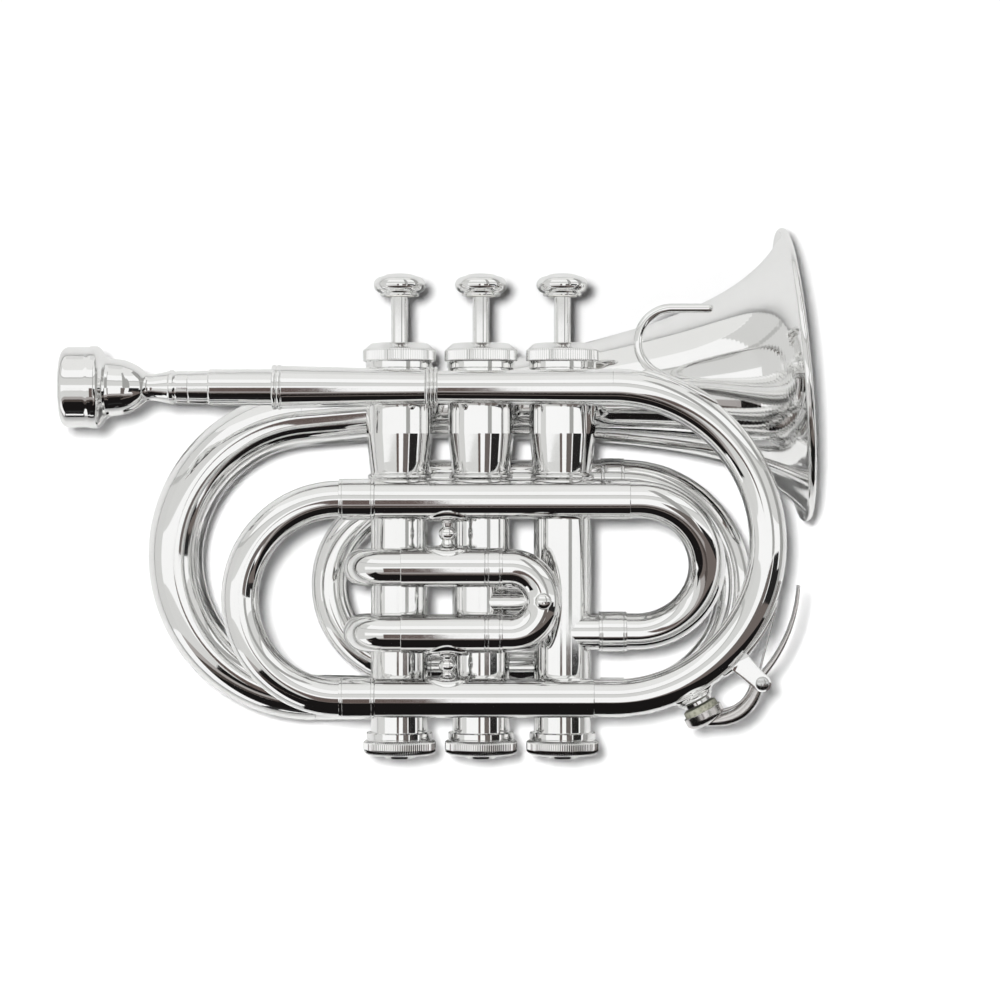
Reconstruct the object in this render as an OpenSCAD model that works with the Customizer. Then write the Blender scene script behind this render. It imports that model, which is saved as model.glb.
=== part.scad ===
/* [Valves] */
// Distance between neighbouring valve axes
valve_pitch = 27; // [26:0.5:30]
// Outer diameter of a valve casing
casing_d = 19; // [18.6:0.1:19.6]
// Diameter of a piston
piston_d = 16.8; // [16:0.1:17]
// Free travel of a piston
stroke = 15; // [12:0.5:16]
// Outer diameter of the spring chamber at the top of a casing
chamber_d = 22; // [21.6:0.1:22.4]
// Wall of the spring chamber
chamber_wall = 1.4; // [1:0.1:1.6]
// Height of the bead at the foot of the spring chamber
bead_z = 93.5; // [93:0.5:97]
// Height where the spring chamber reaches its full width
chamber_full_z = 107.4; // [104:0.5:112]
// Height of the seat of the top cap on the casing
cap_seat_z = 129; // [128.5:0.5:134]
// Outer diameter of a top cap
top_cap_d = 23.9; // [23.4:0.1:24.4]
// Height of a top cap above its seat
top_cap_h = 8.6; // [8:0.1:10]
// Outer diameter of a bottom cap
bottom_cap_d = 23.4; // [22.6:0.1:24.4]
// Height of a bottom cap
bottom_cap_h = 7.6; // [7:0.1:9]
// Diameter of the flat under a bottom cap
cap_foot_d = 12; // [10:0.5:15]
// Diameter of a valve stem
stem_d = 5.6; // [5:0.1:6]
// Diameter of a finger button
button_d = 17.2; // [16:0.1:18]
// Height of a finger button with its flange
button_h = 7.6; // [7:0.1:9]
// Diameter of the drillings through a piston
passage_d = 7.4; // [6:0.1:7.6]
// Wire diameter of a valve spring
spring_wire = 0.9; // [0.7:0.05:1]
// Turns of a valve spring
spring_turns = 7; // [5:1:9]

/* [Tubing] */
// Outer diameter of the outer slide tubes
outer_tube_d = 12.8; // [12.7:0.1:13]
// Wall of an outer slide tube
outer_wall = 0.5; // [0.4:0.05:0.6]
// Wall of an inner slide tube
inner_wall = 0.4; // [0.3:0.05:0.5]
// Difference in diameter from a bow to an outer slide tube and from that to a ferrule
tube_step = 0.6; // [0.5:0.1:0.8]
// Distance of the front tubing in front of the valve axes
front_y = 17; // [17:0.1:18]
// Distance of the third slide behind the valve axes
third_y = 17; // [16.8:0.1:17.2]
// Distance of the bell behind the valve axes
bell_y = 30; // [30:0.5:33]
// Distance of the tubes between the valves in front of the valve axes
link_y = 3; // [2:0.5:3.5]
// Height of the tube from the second to the first valve
link_12_z = 63.5; // [62:0.5:65]
// Height of the tube from the third to the second valve
link_23_z = 52; // [51:0.5:54]

/* [Leadpipe] */
// Height of the mouthpiece and leadpipe axis
leadpipe_z = 122.3; // [121.5:0.1:122.5]
// Left end of the mouthpiece receiver
receiver_x = -68; // [-74:1:-64]
// Right end of the mouthpiece receiver
receiver_end_x = -17.9; // [-20:0.1:-17]
// Outer diameter of the mouthpiece receiver next to its rim
receiver_d = 14; // [13.4:0.1:14.2]
// Width of the ring collar after the receiver
collar_w = 3.9; // [3:0.1:5]
// Outer diameter of the ring collar
collar_d = 13.6; // [13:0.1:15]
// Outer diameter of the leadpipe
leadpipe_d = 10.6; // [10.2:0.1:11]
// Place where the leadpipe starts to widen
leadpipe_taper_x = 31; // [26:1:34]
// Start of the big front bow
front_bow_x = 43; // [42:0.5:46]
// Length of the mouthpiece
mouthpiece_len = 88.6; // [84:0.2:92]
// Outer diameter of the mouthpiece rim
rim_d = 26.2; // [25:0.1:28]
// Inner diameter of the mouthpiece rim
cup_d = 16.4; // [15.5:0.1:17]
// Depth of the mouthpiece cup
cup_depth = 10.5; // [9:0.5:12]
// Bore of the mouthpiece throat
throat_d = 3.7; // [3.5:0.1:4]
// Length of the shank inside the receiver
shank_in = 20; // [16:1:22]
// Diameter of the shank at the mouth of the receiver
shank_d = 11.7; // [11:0.1:11.8]

/* [Tuning slide] */
// Height of the upper slide tube
upper_z = 85.7; // [85:0.1:86]
// Height of the lower slide tube
lower_z = 21; // [21:0.5:22]
// Left end of both outer slide tubes
slide_x = -34.5; // [-36:0.5:-33]
// Right end of the upper slide tube
upper_end_x = 48.7; // [47:0.5:50]
// Right end of the lower slide tube
lower_end_x = 36.9; // [34:0.5:40]
// Length of the ferrules on the tuning slide
slide_ferrule = 11; // [9:0.5:12]
// Straight part of the tuning slide bow before its ferrules
slide_stub = 0.6; // [0.4:0.1:2]
// Length of the tuning slide legs inside the outer tubes
slide_leg = 58; // [45:1:64]
// Length of the crossover ferrule
crossover_ferrule = 9.2; // [8:0.2:10]
// Start of the crossover ferrule
crossover_x = 38.9; // [38:0.1:40]
// Height of the lower leg of the crossover bow
crossover_z = 42; // [41:0.5:43]
// Centre of the crossover bow
crossover_bow_x = 51.3; // [51:0.1:54]

/* [Valve slides] */
// Height of the lower leg of the first slide
first_low_z = 42; // [41:0.5:43]
// Left end of the outer tubes of the first slide
first_x = -26; // [-27:0.5:-25]
// Right end of the outer tubes of the first slide
first_end_x = 1.4; // [0:0.2:3]
// Centre of the hooks of the first slide
hook_x = -30.6; // [-32:0.2:-30]
// Height of the lower leg of the second slide
second_low_z = 46.5; // [46:0.5:47]
// Height of the upper leg of the second slide
second_high_z = 68.5; // [68:0.5:70]
// Length of the outer tubes of the second slide
second_tube = 17; // [15:0.5:20]
// Length of the ferrules on the valve slides
valve_ferrule = 5.8; // [5:0.1:6]
// Height of the lower leg of the third slide
third_low_z = 29; // [28.5:0.5:30]
// Height of the upper leg of the third slide
third_high_z = 85.2; // [84:0.2:86]
// Height of the upper port of the third slide in its casing
third_port_z = 62.5; // [62:0.5:63]
// Left end of the outer tubes of the third slide
third_x = -17; // [-20:0.5:-14]

/* [Bell] */
// Outer diameter of the bell rim
bell_d = 100.4; // [94:0.2:102]
// Wall of the bell
bell_wall = 0.7; // [0.5:0.1:1]
// Diameter of the rolled wire at the rim
rim_wire = 2.6; // [2:0.1:3]
// Centre of the rim along the instrument
rim_x = 107.8; // [104:0.2:110]
// Height of the centre of the rim
rim_z = 128.4; // [127:0.2:130]
// Upward tilt of the bell axis in degrees
bell_tilt = 5; // [4:0.5:6]
// Length over which the flare opens fastest
flare_len = 13.1; // [11:0.1:15]
// Power of the flare
flare_power = 0.28; // [0.26:0.01:0.3]
// Offset of the flare curve
flare_offset = 31; // [29:0.5:33]
// Outer radius of the bell throat
bell_throat_r = 9.8; // [9.4:0.1:10]
// Centre of the bell bow along the instrument
bell_bow_x = -56.5; // [-58:0.5:-54]
// Outer radius at the lower end of the bell bow
branch_r = 7.7; // [7.2:0.1:8]
// Height of the bell branch under the valves
branch_z = 18.2; // [17:0.2:18.6]
// Wall of the branch bow and pipe
branch_wall = 0.85; // [0.65:0.05:0.95]
// Centre of the branch bow along the instrument
branch_bow_x = 48.6; // [46:0.2:50]
// Height of the branch pipe behind the valves
branch_pipe_z = 93; // [92.8:0.2:94]
// Height where the branch pipe enters the first valve
branch_port_z = 57; // [56.5:0.5:57.5]

/* [Fittings] */
// Wire diameter of the finger hook
hook_d = 3; // [2.6:0.1:3.4]
// Radius of the finger hook
hook_r = 11.1; // [10:0.1:12]
// Centre of the finger hook along the instrument
finger_hook_x = 62.4; // [61:0.2:64]
// Height of the centre of the finger hook
finger_hook_z = 137; // [136:0.2:138]
// Angle through which the finger hook curls
hook_sweep = 150; // [130:5:160]
// Angle of the water key seat on the big bow
seat_angle = -62; // [-64:1:-60]
// Angle of the water key pivot on the big bow
pivot_angle = -43.3; // [-44:0.5:-42]
// Distance of the pivot outside the bow's centre line
pivot_out = 15.9; // [15:0.1:16.5]
// Diameter of the pivot screw
pivot_d = 2; // [1.8:0.1:2.4]
// Diameter of the water key's cork
cork_d = 10.7; // [9:0.1:11]
// Diameter of the brace posts
post_d = 4; // [3.5:0.1:5]
// Place of the brace posts along the instrument
post_x = -10.8; // [-12:0.2:-10]

/* [Fits] */
// Radial clearance of a piston, a slide or a pivot
running_gap = 0.05; // [0.03:0.01:0.08]
// Gap filled by solder between fixed tubes
solder_gap = 0.05; // [0.02:0.01:0.1]
// Gap between moving pieces that don't guide each other
free_gap = 0.3; // [0.3:0.05:0.5]
// Wall of the thin plates, such as flanges and saddles
plate = 0.9; // [0.7:0.1:1.1]

/* [Hidden] */
$fn = 64;

silver = "gainsboro";
steel = "slategray";
felt_colour = "ivory";
cork_colour = "tan";
nylon_colour = "white";
eps = 0.01;

valve_x = [-valve_pitch, 0, valve_pitch];
outer_bore = outer_tube_d - 2 * outer_wall;
inner_tube_d = outer_bore - 2 * running_gap;
tube_bore = inner_tube_d - 2 * inner_wall;
branch_pipe_d = tube_bore + 2 * branch_wall;
bow_d = outer_tube_d - tube_step;
ferrule_d = outer_tube_d + tube_step;
ferrule_bore = inner_tube_d + 2 * solder_gap;
leg_inset = 3;

// Heights inside a valve
casing_foot_z = 2.6;
casing_bore_r = piston_d / 2 + running_gap;
ledge_z = bead_z + 1;
casing_top_z = cap_seat_z + 5;
casing_neck_d = chamber_d - 1;
chamber_bore_r = chamber_d / 2 - chamber_wall;
piston_top_z = ledge_z - 1;
piston_foot_z = casing_foot_z + stroke + 2.4;
cap_roof_z = casing_top_z + 0.4;
cap_top_z = cap_seat_z + top_cap_h;
felt_h = 2.8;
barrel_top_z = cap_roof_z - felt_h - free_gap;
barrel_floor = 2;
barrel_d = piston_d - 1.4;
barrel_bore_d = barrel_d - 1.8;
guide_h = 3;
guide_lug = 3;
ledge_w = 0.6;
button_felt_h = 0.9;
felt_proud = 0.2;
button_felt_d = 10;
button_z = cap_top_z + stroke + felt_proud + free_gap;
spring_z = ledge_z + guide_h;

// Details of the braces
flange_r = outer_tube_d / 2;
stay_d = 7;
brace_foot_d = 9;

// Heights and centres of the bows
first_high_z = link_12_z;
front_bow_r = (leadpipe_z - lower_z) / 2;
front_bow_z = (leadpipe_z + lower_z) / 2;
slide_bow_r = (upper_z - lower_z) / 2;
slide_bow_z = (upper_z + lower_z) / 2;
slide_bow_x = slide_x - slide_ferrule - slide_stub;
cross_dy = (front_y - link_y) / 2;
cross_dz = (upper_z - crossover_z) / 2;
cross_r = sqrt(cross_dy * cross_dy + cross_dz * cross_dz);
cross_tilt = atan2(cross_dy, cross_dz);
first_bow_r = (first_high_z - first_low_z) / 2;
first_bow_x = first_end_x + valve_ferrule + 2.4;
second_bow_r = (second_high_z - second_low_z) / 2;
second_y = casing_d / 2 + second_tube;
third_bow_r = (third_high_z - third_low_z) / 2;
third_bow_x = third_x - valve_ferrule - 0.2;
third_elbow_r = third_y - casing_d / 2;
branch_bow_r = (branch_pipe_z - branch_z) / 2;
branch_bow_z = (branch_pipe_z + branch_z) / 2;
branch_elbow_r = 10;
branch_ferrule = 8;
branch_ferrule_d = branch_pipe_d + 1;
branch_end_x = branch_bow_x - 1;

// Details of the finger hook and the water key
hook_tip = 12;
hook_foot = 6;
seat_out = bow_d / 2 + 3;
seat_d = cork_d - 1.3;
seat_bore = 3.6;
cork_h = 5.4;
cup_d_out = cork_d + 1.9;
ear_gap = 6.6;
ear_w = 1.4;
ear_r = 3.2;
ear_foot = bow_d / 2 - 0.85;
key_spring_wire = 0.6;
key_spring_w = 2.4;
knob_d = 5.6;

// The bell bow is tangent to the bell branch and to the tilted bell axis
bell_normal = [-sin(bell_tilt), cos(bell_tilt)];
rim_offset = bell_normal * [rim_x, rim_z];
bow_offset = bell_normal * [bell_bow_x, branch_z];
bell_bow_r = (rim_offset - bow_offset) / (1 + cos(bell_tilt));
bell_bow_z = branch_z + bell_bow_r;
bell_tail = [bell_bow_x, bell_bow_z] + bell_bow_r * bell_normal;
bell_len = (rim_x - bell_tail[0]) / cos(bell_tilt);

// Casing ports of each valve as direction, sideways offset and height
ports_1 = [[0, -link_y, link_12_z], [90, 0, branch_port_z], [193, 0, first_high_z], [193, 0, first_low_z]];
ports_2 = [[0, -link_y, link_23_z], [180, -link_y, link_12_z], [90, 0, second_low_z], [90, 0, second_high_z]];
ports_3 = [[0, -link_y, crossover_z], [180, -link_y, link_23_z], [90, 0, third_low_z], [90, 0, third_port_z]];
ports = [ports_1, ports_2, ports_3];

// Drillings of each piston as port, port and whether they serve the pressed valve
drillings_1 = [[0, 1, 0], [0, 2, 1], [3, 1, 1]];
drillings_2 = [[0, 1, 0], [0, 2, 1], [3, 1, 1]];
drillings_3 = [[0, 1, 0], [0, 3, 1], [2, 1, 1]];
drillings = [drillings_1, drillings_2, drillings_3];

// Point where a port's axis meets a circle of radius r around the valve axis
function port_point(p, r) =
    let (d = [cos(p[0]), sin(p[0])], o = [0, p[1]], t = sqrt(pow(o * d, 2) + r * r - o * o) - o * d)
    [o[0] + t * d[0], o[1] + t * d[1], p[2]];

// Outer radius of the bell at a distance from its rim
function bell_r(a) = max(
    bell_throat_r,
    (bell_d / 2 + flare_offset) * pow(1 + a / flare_len, -flare_power) - flare_offset
);

module ring_2d(od, id) {
    difference() {
        circle(d = od);
        circle(d = id);
    }
}

module tube(od, id, h) {
    difference() {
        cylinder(d = od, h = h);
        translate([0, 0, -1]) cylinder(d = id, h = h + 2);
    }
}

// Straight tube along +X from x0 to x1
module tube_x(x0, x1, y, z, od, id) {
    translate([x0, y, z]) rotate([0, 90, 0]) tube(od, id, x1 - x0);
}

// Straight tube along +Y from y0 to y1
module tube_y(x, y0, y1, z, od, id) {
    translate([x, y0, z]) rotate([-90, 0, 0]) tube(od, id, y1 - y0);
}

module bend(r, sweep, od, id) {
    rotate_extrude(angle = sweep) translate([r, 0]) ring_2d(od, id);
}

// Bend in an upright plane along the instrument, angles from +X towards +Z
module bend_xz(x, y, z, r, start, sweep, od, id) {
    translate([x, y, z]) rotate([90, 0, 0]) rotate([0, 0, start]) bend(r, sweep, od, id);
}

// Bend in a level plane, angles from +X towards +Y
module bend_xy(x, y, z, r, start, sweep, od, id) {
    translate([x, y, z]) rotate([0, 0, start]) bend(r, sweep, od, id);
}

// Bend in an upright plane across the instrument, angles from +Y towards +Z
module bend_yz(x, y, z, r, start, sweep, od, id) {
    translate([x, y, z]) rotate([90, 0, 90]) rotate([0, 0, start]) bend(r, sweep, od, id);
}

// Round rod between two points, lengthened at both ends
module rod(p, q, d, extra = 0) {
    v = q - p;
    len = norm(v);
    translate(p) rotate([0, acos(v[2] / len), atan2(v[1], v[0])])
        translate([0, 0, -extra]) cylinder(d = d, h = len + 2 * extra);
}

// Outside of a valve casing, widened by a gap, for pieces that fit against it
module casing_outside(i, gap) {
    translate([valve_x[i], 0, 0]) cylinder(d = casing_d + 2 * gap, h = bead_z);
}

module valve_casing(i) {
    flare_z = bead_z + 1.2;
    color(silver) translate([valve_x[i], 0, 0]) difference() {
        rotate_extrude() polygon([
            [0, casing_foot_z], [casing_d / 2, casing_foot_z], [casing_d / 2, bead_z - 1.2],
            [casing_d / 2 + 0.9, bead_z - 0.8], [casing_d / 2 + 0.9, bead_z + 0.4],
            [casing_d / 2 + 0.1, bead_z + 0.8], [casing_d / 2 + 0.1, flare_z],
            [chamber_d / 2, chamber_full_z], [chamber_d / 2, cap_seat_z],
            [casing_neck_d / 2, cap_seat_z], [casing_neck_d / 2, casing_top_z], [0, casing_top_z]
        ]);
        translate([0, 0, casing_foot_z - 1]) cylinder(r = casing_bore_r, h = casing_top_z);
        translate([0, 0, ledge_z])
            cylinder(r1 = casing_bore_r + ledge_w, r2 = chamber_bore_r, h = chamber_full_z - ledge_z);
        translate([0, 0, chamber_full_z - eps]) cylinder(r = chamber_bore_r, h = casing_top_z);
        for (p = ports[i])
            translate([0, p[1], p[2]]) rotate([0, 90, p[0]]) cylinder(d = tube_bore, h = casing_d);
    }
}

module top_cap(i) {
    r = top_cap_d / 2;
    color(silver) translate([valve_x[i], 0, 0]) difference() {
        rotate_extrude() polygon([
            [0, cap_seat_z + solder_gap], [r - 0.8, cap_seat_z + solder_gap], [r - 0.8, cap_seat_z + 2.5],
            [r, cap_seat_z + 2.9], [r, cap_seat_z + 5.5], [r - 0.7, cap_top_z - 1.5],
            [r - 1.2, cap_top_z - 0.6], [r - 2, cap_top_z], [0, cap_top_z]
        ]);
        translate([0, 0, cap_seat_z - 1])
            cylinder(d = casing_neck_d + 2 * running_gap, h = cap_roof_z - cap_seat_z + 1);
        translate([0, 0, cap_seat_z]) cylinder(d = stem_d + 2 * free_gap, h = top_cap_h + 1);
    }
}

module bottom_cap(i) {
    r = bottom_cap_d / 2;
    color(silver) translate([valve_x[i], 0, 0]) difference() {
        rotate_extrude() polygon([
            [0, 0], [cap_foot_d / 2, 0], [cap_foot_d / 2 + 2.6, 0.5], [r - 1, 1.4], [r, 2.2],
            [r, 4.8], [r - 0.4, 5.2], [r - 0.9, 5.4], [r - 1, bottom_cap_h], [0, bottom_cap_h]
        ]);
        translate([0, 0, casing_foot_z - 0.1]) cylinder(d = casing_d + 2 * running_gap, h = bottom_cap_h);
        translate([0, 0, casing_foot_z - 1.4]) cylinder(d = piston_d - 1, h = bottom_cap_h);
    }
}

module valve_guide(i) {
    color(nylon_colour) translate([valve_x[i], 0, ledge_z]) difference() {
        union() {
            cylinder(d = barrel_bore_d - 2 * free_gap, h = guide_h);
            intersection() {
                translate([-chamber_d, -guide_lug / 2, 0]) cube([2 * chamber_d, guide_lug, guide_h]);
                cylinder(r = casing_bore_r + ledge_w - solder_gap, h = guide_h);
            }
        }
        translate([0, 0, -1]) cylinder(d = stem_d + 1, h = guide_h + 2);
    }
}

// Coil swept round the valve axis by its own rings of six sides
module coil(r, wire, turns, h, steps = 12) {
    n = turns * steps;
    sides = 6;
    points = [for (i = [0 : n], k = [0 : sides - 1])
        let (a = 360 * i / steps, b = 360 * k / sides, q = r + wire / 2 * cos(b))
        [q * cos(a), q * sin(a), wire / 2 + (h - wire) * i / n + wire / 2 * sin(b)]];
    walls = [for (i = [0 : n - 1], k = [0 : sides - 1])
        let (k2 = (k + 1) % sides, a = i * sides + k, b = i * sides + k2)
        each [[a, b + sides, a + sides], [a, b, b + sides]]];
    ends = [for (k = [1 : sides - 2]) each [[0, k + 1, k], [n * sides, n * sides + k, n * sides + k + 1]]];
    polyhedron(points = points, faces = concat(walls, ends));
}

module valve_spring(i) {
    r = (barrel_bore_d - spring_wire) / 2 - free_gap;
    h = barrel_top_z - barrel_floor - spring_z - 0.2;
    color(steel) translate([valve_x[i], 0, spring_z + 0.1]) coil(r, spring_wire, spring_turns, h);
}

module piston(i) {
    r = piston_d / 2;
    slot_top = ledge_z + guide_h + stroke + free_gap;
    color(silver) translate([valve_x[i], 0, 0]) difference() {
        union() {
            translate([0, 0, piston_foot_z]) cylinder(r = r, h = piston_top_z - piston_foot_z);
            translate([0, 0, piston_top_z - 1]) cylinder(d = barrel_d, h = barrel_top_z - piston_top_z + 1);
        }
        translate([0, 0, piston_top_z])
            cylinder(d = barrel_bore_d, h = barrel_top_z - barrel_floor - piston_top_z);
        translate([-piston_d, -guide_lug / 2 - free_gap, ledge_z - free_gap])
            cube([2 * piston_d, guide_lug + 2 * free_gap, slot_top - ledge_z + free_gap]);
        translate([0, 0, barrel_top_z - barrel_floor - 1])
            cylinder(d = stem_d + 2 * solder_gap, h = barrel_floor + 2);
        for (d = drillings[i]) {
            lift = [0, 0, d[2] * stroke];
            rod(port_point(ports[i][d[0]], r) + lift, port_point(ports[i][d[1]], r) + lift, passage_d, 4);
        }
    }
}

module valve_stem(i) {
    foot_z = barrel_top_z - barrel_floor;
    head_z = button_z + button_h / 2;
    color(silver) translate([valve_x[i], 0, 0]) cylinder_between(foot_z, head_z, stem_d);
}

module cylinder_between(z0, z1, d) {
    translate([0, 0, z0]) cylinder(d = d, h = z1 - z0);
}

module stem_felts(i) {
    bore = stem_d + 2 * solder_gap;
    color(felt_colour) translate([valve_x[i], 0, 0]) {
        translate([0, 0, barrel_top_z + solder_gap]) tube(barrel_d - 1, bore, felt_h - solder_gap);
        translate([0, 0, button_z - felt_proud]) tube(button_felt_d, bore, button_felt_h);
    }
}

// Fat rounded button with a low dome, hollowed underneath for its felt
module finger_button(i) {
    r = button_d / 2;
    side_r = 3.3;
    side_z = side_r + 0.1;
    recess = button_felt_h - felt_proud + solder_gap;
    color(silver) translate([valve_x[i], 0, button_z]) difference() {
        rotate_extrude() polygon(concat(
            [[0, 0], [r - side_r + 1, 0]],
            [for (a = [-60 : 10 : 70]) [r - side_r + side_r * cos(a), side_z + side_r * sin(a)]],
            [[r - side_r - 0.6, button_h - 0.5], [r / 3, button_h - 0.1], [0, button_h]]
        ));
        translate([0, 0, -1]) cylinder(d = stem_d + 2 * solder_gap, h = 1 + button_h / 2 + solder_gap);
        translate([0, 0, -1]) cylinder(d = button_felt_d + 2 * solder_gap, h = 1 + recess);
    }
}

module mouthpiece() {
    x0 = receiver_x + shank_in - mouthpiece_len;
    rim_r = rim_d / 2;
    end_r = shank_d / 2 - shank_in / 40;
    throat_x = cup_depth + 3;
    lip_r = 2.6;
    shoulder = rim_r + 0.3;
    neck_r = shank_d / 2 - 1.5;
    outside = concat(
        [for (a = [180 : -20 : 100]) [lip_r + lip_r * cos(a), rim_r - lip_r + lip_r * sin(a)]],
        [[8.6, rim_r], [9.8, shoulder], [12.4, shoulder], [13.4, rim_r - 0.8], [14.4, rim_r - 2.6],
        [15.8, rim_r - 3.5], [20.3, rim_r - 4.2], [22.1, rim_r - 4.8], [24, rim_r - 5.7],
        [25.9, rim_r - 6.9], [27.7, neck_r + 0.3], [30, neck_r], [33, neck_r + 0.5], [35.2, neck_r + 1],
        [35.5, neck_r + 1.3], [36.7, neck_r + 1.3], [37.1, neck_r + 0.9], [41.6, neck_r + 0.9],
        [48, neck_r + 1.1], [48.4, shank_d / 2 - 0.05], [mouthpiece_len - shank_in, shank_d / 2],
        [mouthpiece_len, end_r]]
    );
    inside = concat(
        [[mouthpiece_len, end_r - 0.9], [throat_x + 12, throat_d / 2], [throat_x, throat_d / 2]],
        [for (a = [10 : 16 : 90]) [cup_depth * cos(a), cup_d / 2 * sin(a)]],
        [[1.4, cup_d / 2 + 0.2], [0.5, cup_d / 2 + 0.9]]
    );
    color(silver) translate([x0, -front_y, leadpipe_z]) rotate([0, 90, 0])
        rotate_extrude() polygon([for (p = concat(outside, inside)) [p[1], p[0]]]);
}

module mouthpiece_receiver() {
    len = receiver_end_x - receiver_x;
    r = receiver_d / 2;
    taper_in = shank_in + 2;
    mouth_r = shank_d / 2 + running_gap;
    deep_r = mouth_r - taper_in / 40;
    color(silver) translate([receiver_x, -front_y, leadpipe_z]) rotate([0, 90, 0]) difference() {
        rotate_extrude() polygon([
            [0, 0], [r, 0], [r + 0.3, 0.3], [r + 0.3, 2.5], [r, 2.9], [leadpipe_d / 2 + 0.4, len], [0, len]
        ]);
        translate([0, 0, -eps]) cylinder(r1 = mouth_r, r2 = deep_r, h = taper_in);
        translate([0, 0, taper_in - 0.2]) cylinder(d = leadpipe_d - 2, h = len);
    }
}

module leadpipe_collar() {
    start_x = receiver_end_x + solder_gap;
    color(silver) translate([start_x, -front_y, leadpipe_z]) rotate([0, 90, 0]) difference() {
        rotate_extrude() polygon(concat(
            [[0, 0], [collar_d / 2 - 1, 0]],
            [for (k = [0 : 2], a = [-75 : 25 : 75])
                [collar_d / 2 - 1 + cos(a), collar_w * (k + 0.5) / 3 + collar_w / 6 * sin(a)]],
            [[collar_d / 2 - 1, collar_w], [0, collar_w]]
        ));
        translate([0, 0, -1]) cylinder(d = leadpipe_d + 2 * solder_gap, h = collar_w + 2);
    }
}

module leadpipe() {
    x0 = receiver_end_x + solder_gap;
    straight = leadpipe_taper_x - x0;
    len = front_bow_x - x0;
    color(silver) translate([x0, -front_y, leadpipe_z]) rotate([0, 90, 0]) difference() {
        rotate_extrude() polygon([
            [0, 0], [leadpipe_d / 2, 0], [leadpipe_d / 2, straight], [bow_d / 2, len], [0, len]
        ]);
        translate([0, 0, -1]) cylinder(d = leadpipe_d - 2, h = straight + 1);
        translate([0, 0, straight - eps])
            cylinder(d1 = leadpipe_d - 2, d2 = tube_bore, h = len - straight + 2 * eps);
    }
}

module leadpipe_bow() {
    color(silver) {
        bend_xz(front_bow_x, -front_y, front_bow_z, front_bow_r, -90, 180, bow_d, tube_bore);
        tube_x(lower_end_x, front_bow_x, -front_y, lower_z, bow_d, tube_bore);
    }
}

module lower_slide_tube() {
    color(silver) tube_x(slide_x, lower_end_x, -front_y, lower_z, outer_tube_d, outer_bore);
}

module upper_slide_tube() {
    color(silver) tube_x(slide_x, upper_end_x, -front_y, upper_z, outer_tube_d, outer_bore);
}

module crossover_bow() {
    mid_y = -(front_y + link_y) / 2;
    mid_z = (upper_z + crossover_z) / 2;
    ferrule_end = crossover_x + crossover_ferrule;
    color(silver) translate([0, mid_y, mid_z]) rotate([cross_tilt, 0, 0]) {
        bend_xz(crossover_bow_x, 0, 0, cross_r, -90, 180, bow_d, tube_bore);
        tube_x(upper_end_x, crossover_bow_x, 0, cross_r, bow_d, tube_bore);
        tube_x(ferrule_end, crossover_bow_x, 0, -cross_r, bow_d, tube_bore);
        tube_x(crossover_x, ferrule_end, 0, -cross_r, ferrule_d, tube_bore);
    }
}

module main_slide_crook() {
    start = slide_bow_x;
    color(silver) {
        bend_xz(start, -front_y, slide_bow_z, slide_bow_r, 90, 180, bow_d, tube_bore);
        for (z = [lower_z, upper_z]) {
            tube_x(start, start + slide_stub, -front_y, z, bow_d, tube_bore);
            tube_x(start + slide_stub, slide_x - solder_gap, -front_y, z, ferrule_d, ferrule_bore);
        }
    }
}

module main_slide_legs() {
    from_x = slide_bow_x + slide_stub + solder_gap;
    color(silver) for (z = [lower_z, upper_z])
        tube_x(from_x, slide_x + slide_leg, -front_y, z, inner_tube_d, tube_bore);
}

// Tubes between the valves and from the crossover bow into the third valve
module valve_links() {
    color(silver) difference() {
        union() {
            tube_x(valve_x[0], valve_x[1], -link_y, link_12_z, bow_d, tube_bore);
            tube_x(valve_x[1], valve_x[2], -link_y, link_23_z, bow_d, tube_bore);
            tube_x(valve_x[2], crossover_x - solder_gap, -link_y, crossover_z, bow_d, tube_bore);
        }
        for (i = [0 : 2]) casing_outside(i, solder_gap);
    }
}

// Outer tubes of the first slide with the hooks that lead them round into the first valve
module first_slide_tubes() {
    color(silver) difference() {
        for (z = [first_low_z, first_high_z]) union() {
            tube_x(first_x, first_end_x, -front_y, z, outer_tube_d, outer_bore);
            tube_x(hook_x, first_x, -front_y, z, bow_d, tube_bore);
            bend_xy(hook_x, -front_y / 2, z, front_y / 2, 90, 180, bow_d, tube_bore);
        }
        casing_outside(0, solder_gap);
    }
}

// Turned knob that pulls a slide, standing on the XY plane
module pull_knob(d) {
    rotate_extrude() polygon(concat(
        [[0, 0], [d / 4, 0], [d / 4, 0.9]],
        [for (a = [-40 : 20 : 60]) [d / 2 * cos(a), 2.4 + 1.7 * sin(a)]],
        [[0, 4.3]]
    ));
}

module first_slide_crook() {
    ferrule_end = first_end_x + valve_ferrule;
    knob_x = first_bow_x + first_bow_r;
    color(silver) {
        bend_xz(first_bow_x, -front_y, first_low_z + first_bow_r, first_bow_r, -90, 180, bow_d, tube_bore);
        for (z = [first_low_z, first_high_z]) {
            tube_x(ferrule_end, first_bow_x, -front_y, z, bow_d, tube_bore);
            tube_x(first_end_x + solder_gap, ferrule_end, -front_y, z, outer_tube_d, ferrule_bore);
        }
        translate([knob_x, -front_y - bow_d / 2 + 0.4, first_low_z + first_bow_r]) rotate([90, 0, 0])
            pull_knob(knob_d);
    }
}

module first_slide_legs() {
    leg_x = first_x + leg_inset;
    end_x = first_end_x + valve_ferrule - solder_gap;
    color(silver) for (z = [first_low_z, first_high_z])
        tube_x(leg_x, end_x, -front_y, z, inner_tube_d, tube_bore);
}

module second_slide_tubes() {
    color(silver) difference() {
        for (z = [second_low_z, second_high_z]) tube_y(0, 0, second_y, z, outer_tube_d, outer_bore);
        casing_outside(1, solder_gap);
    }
}

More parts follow.
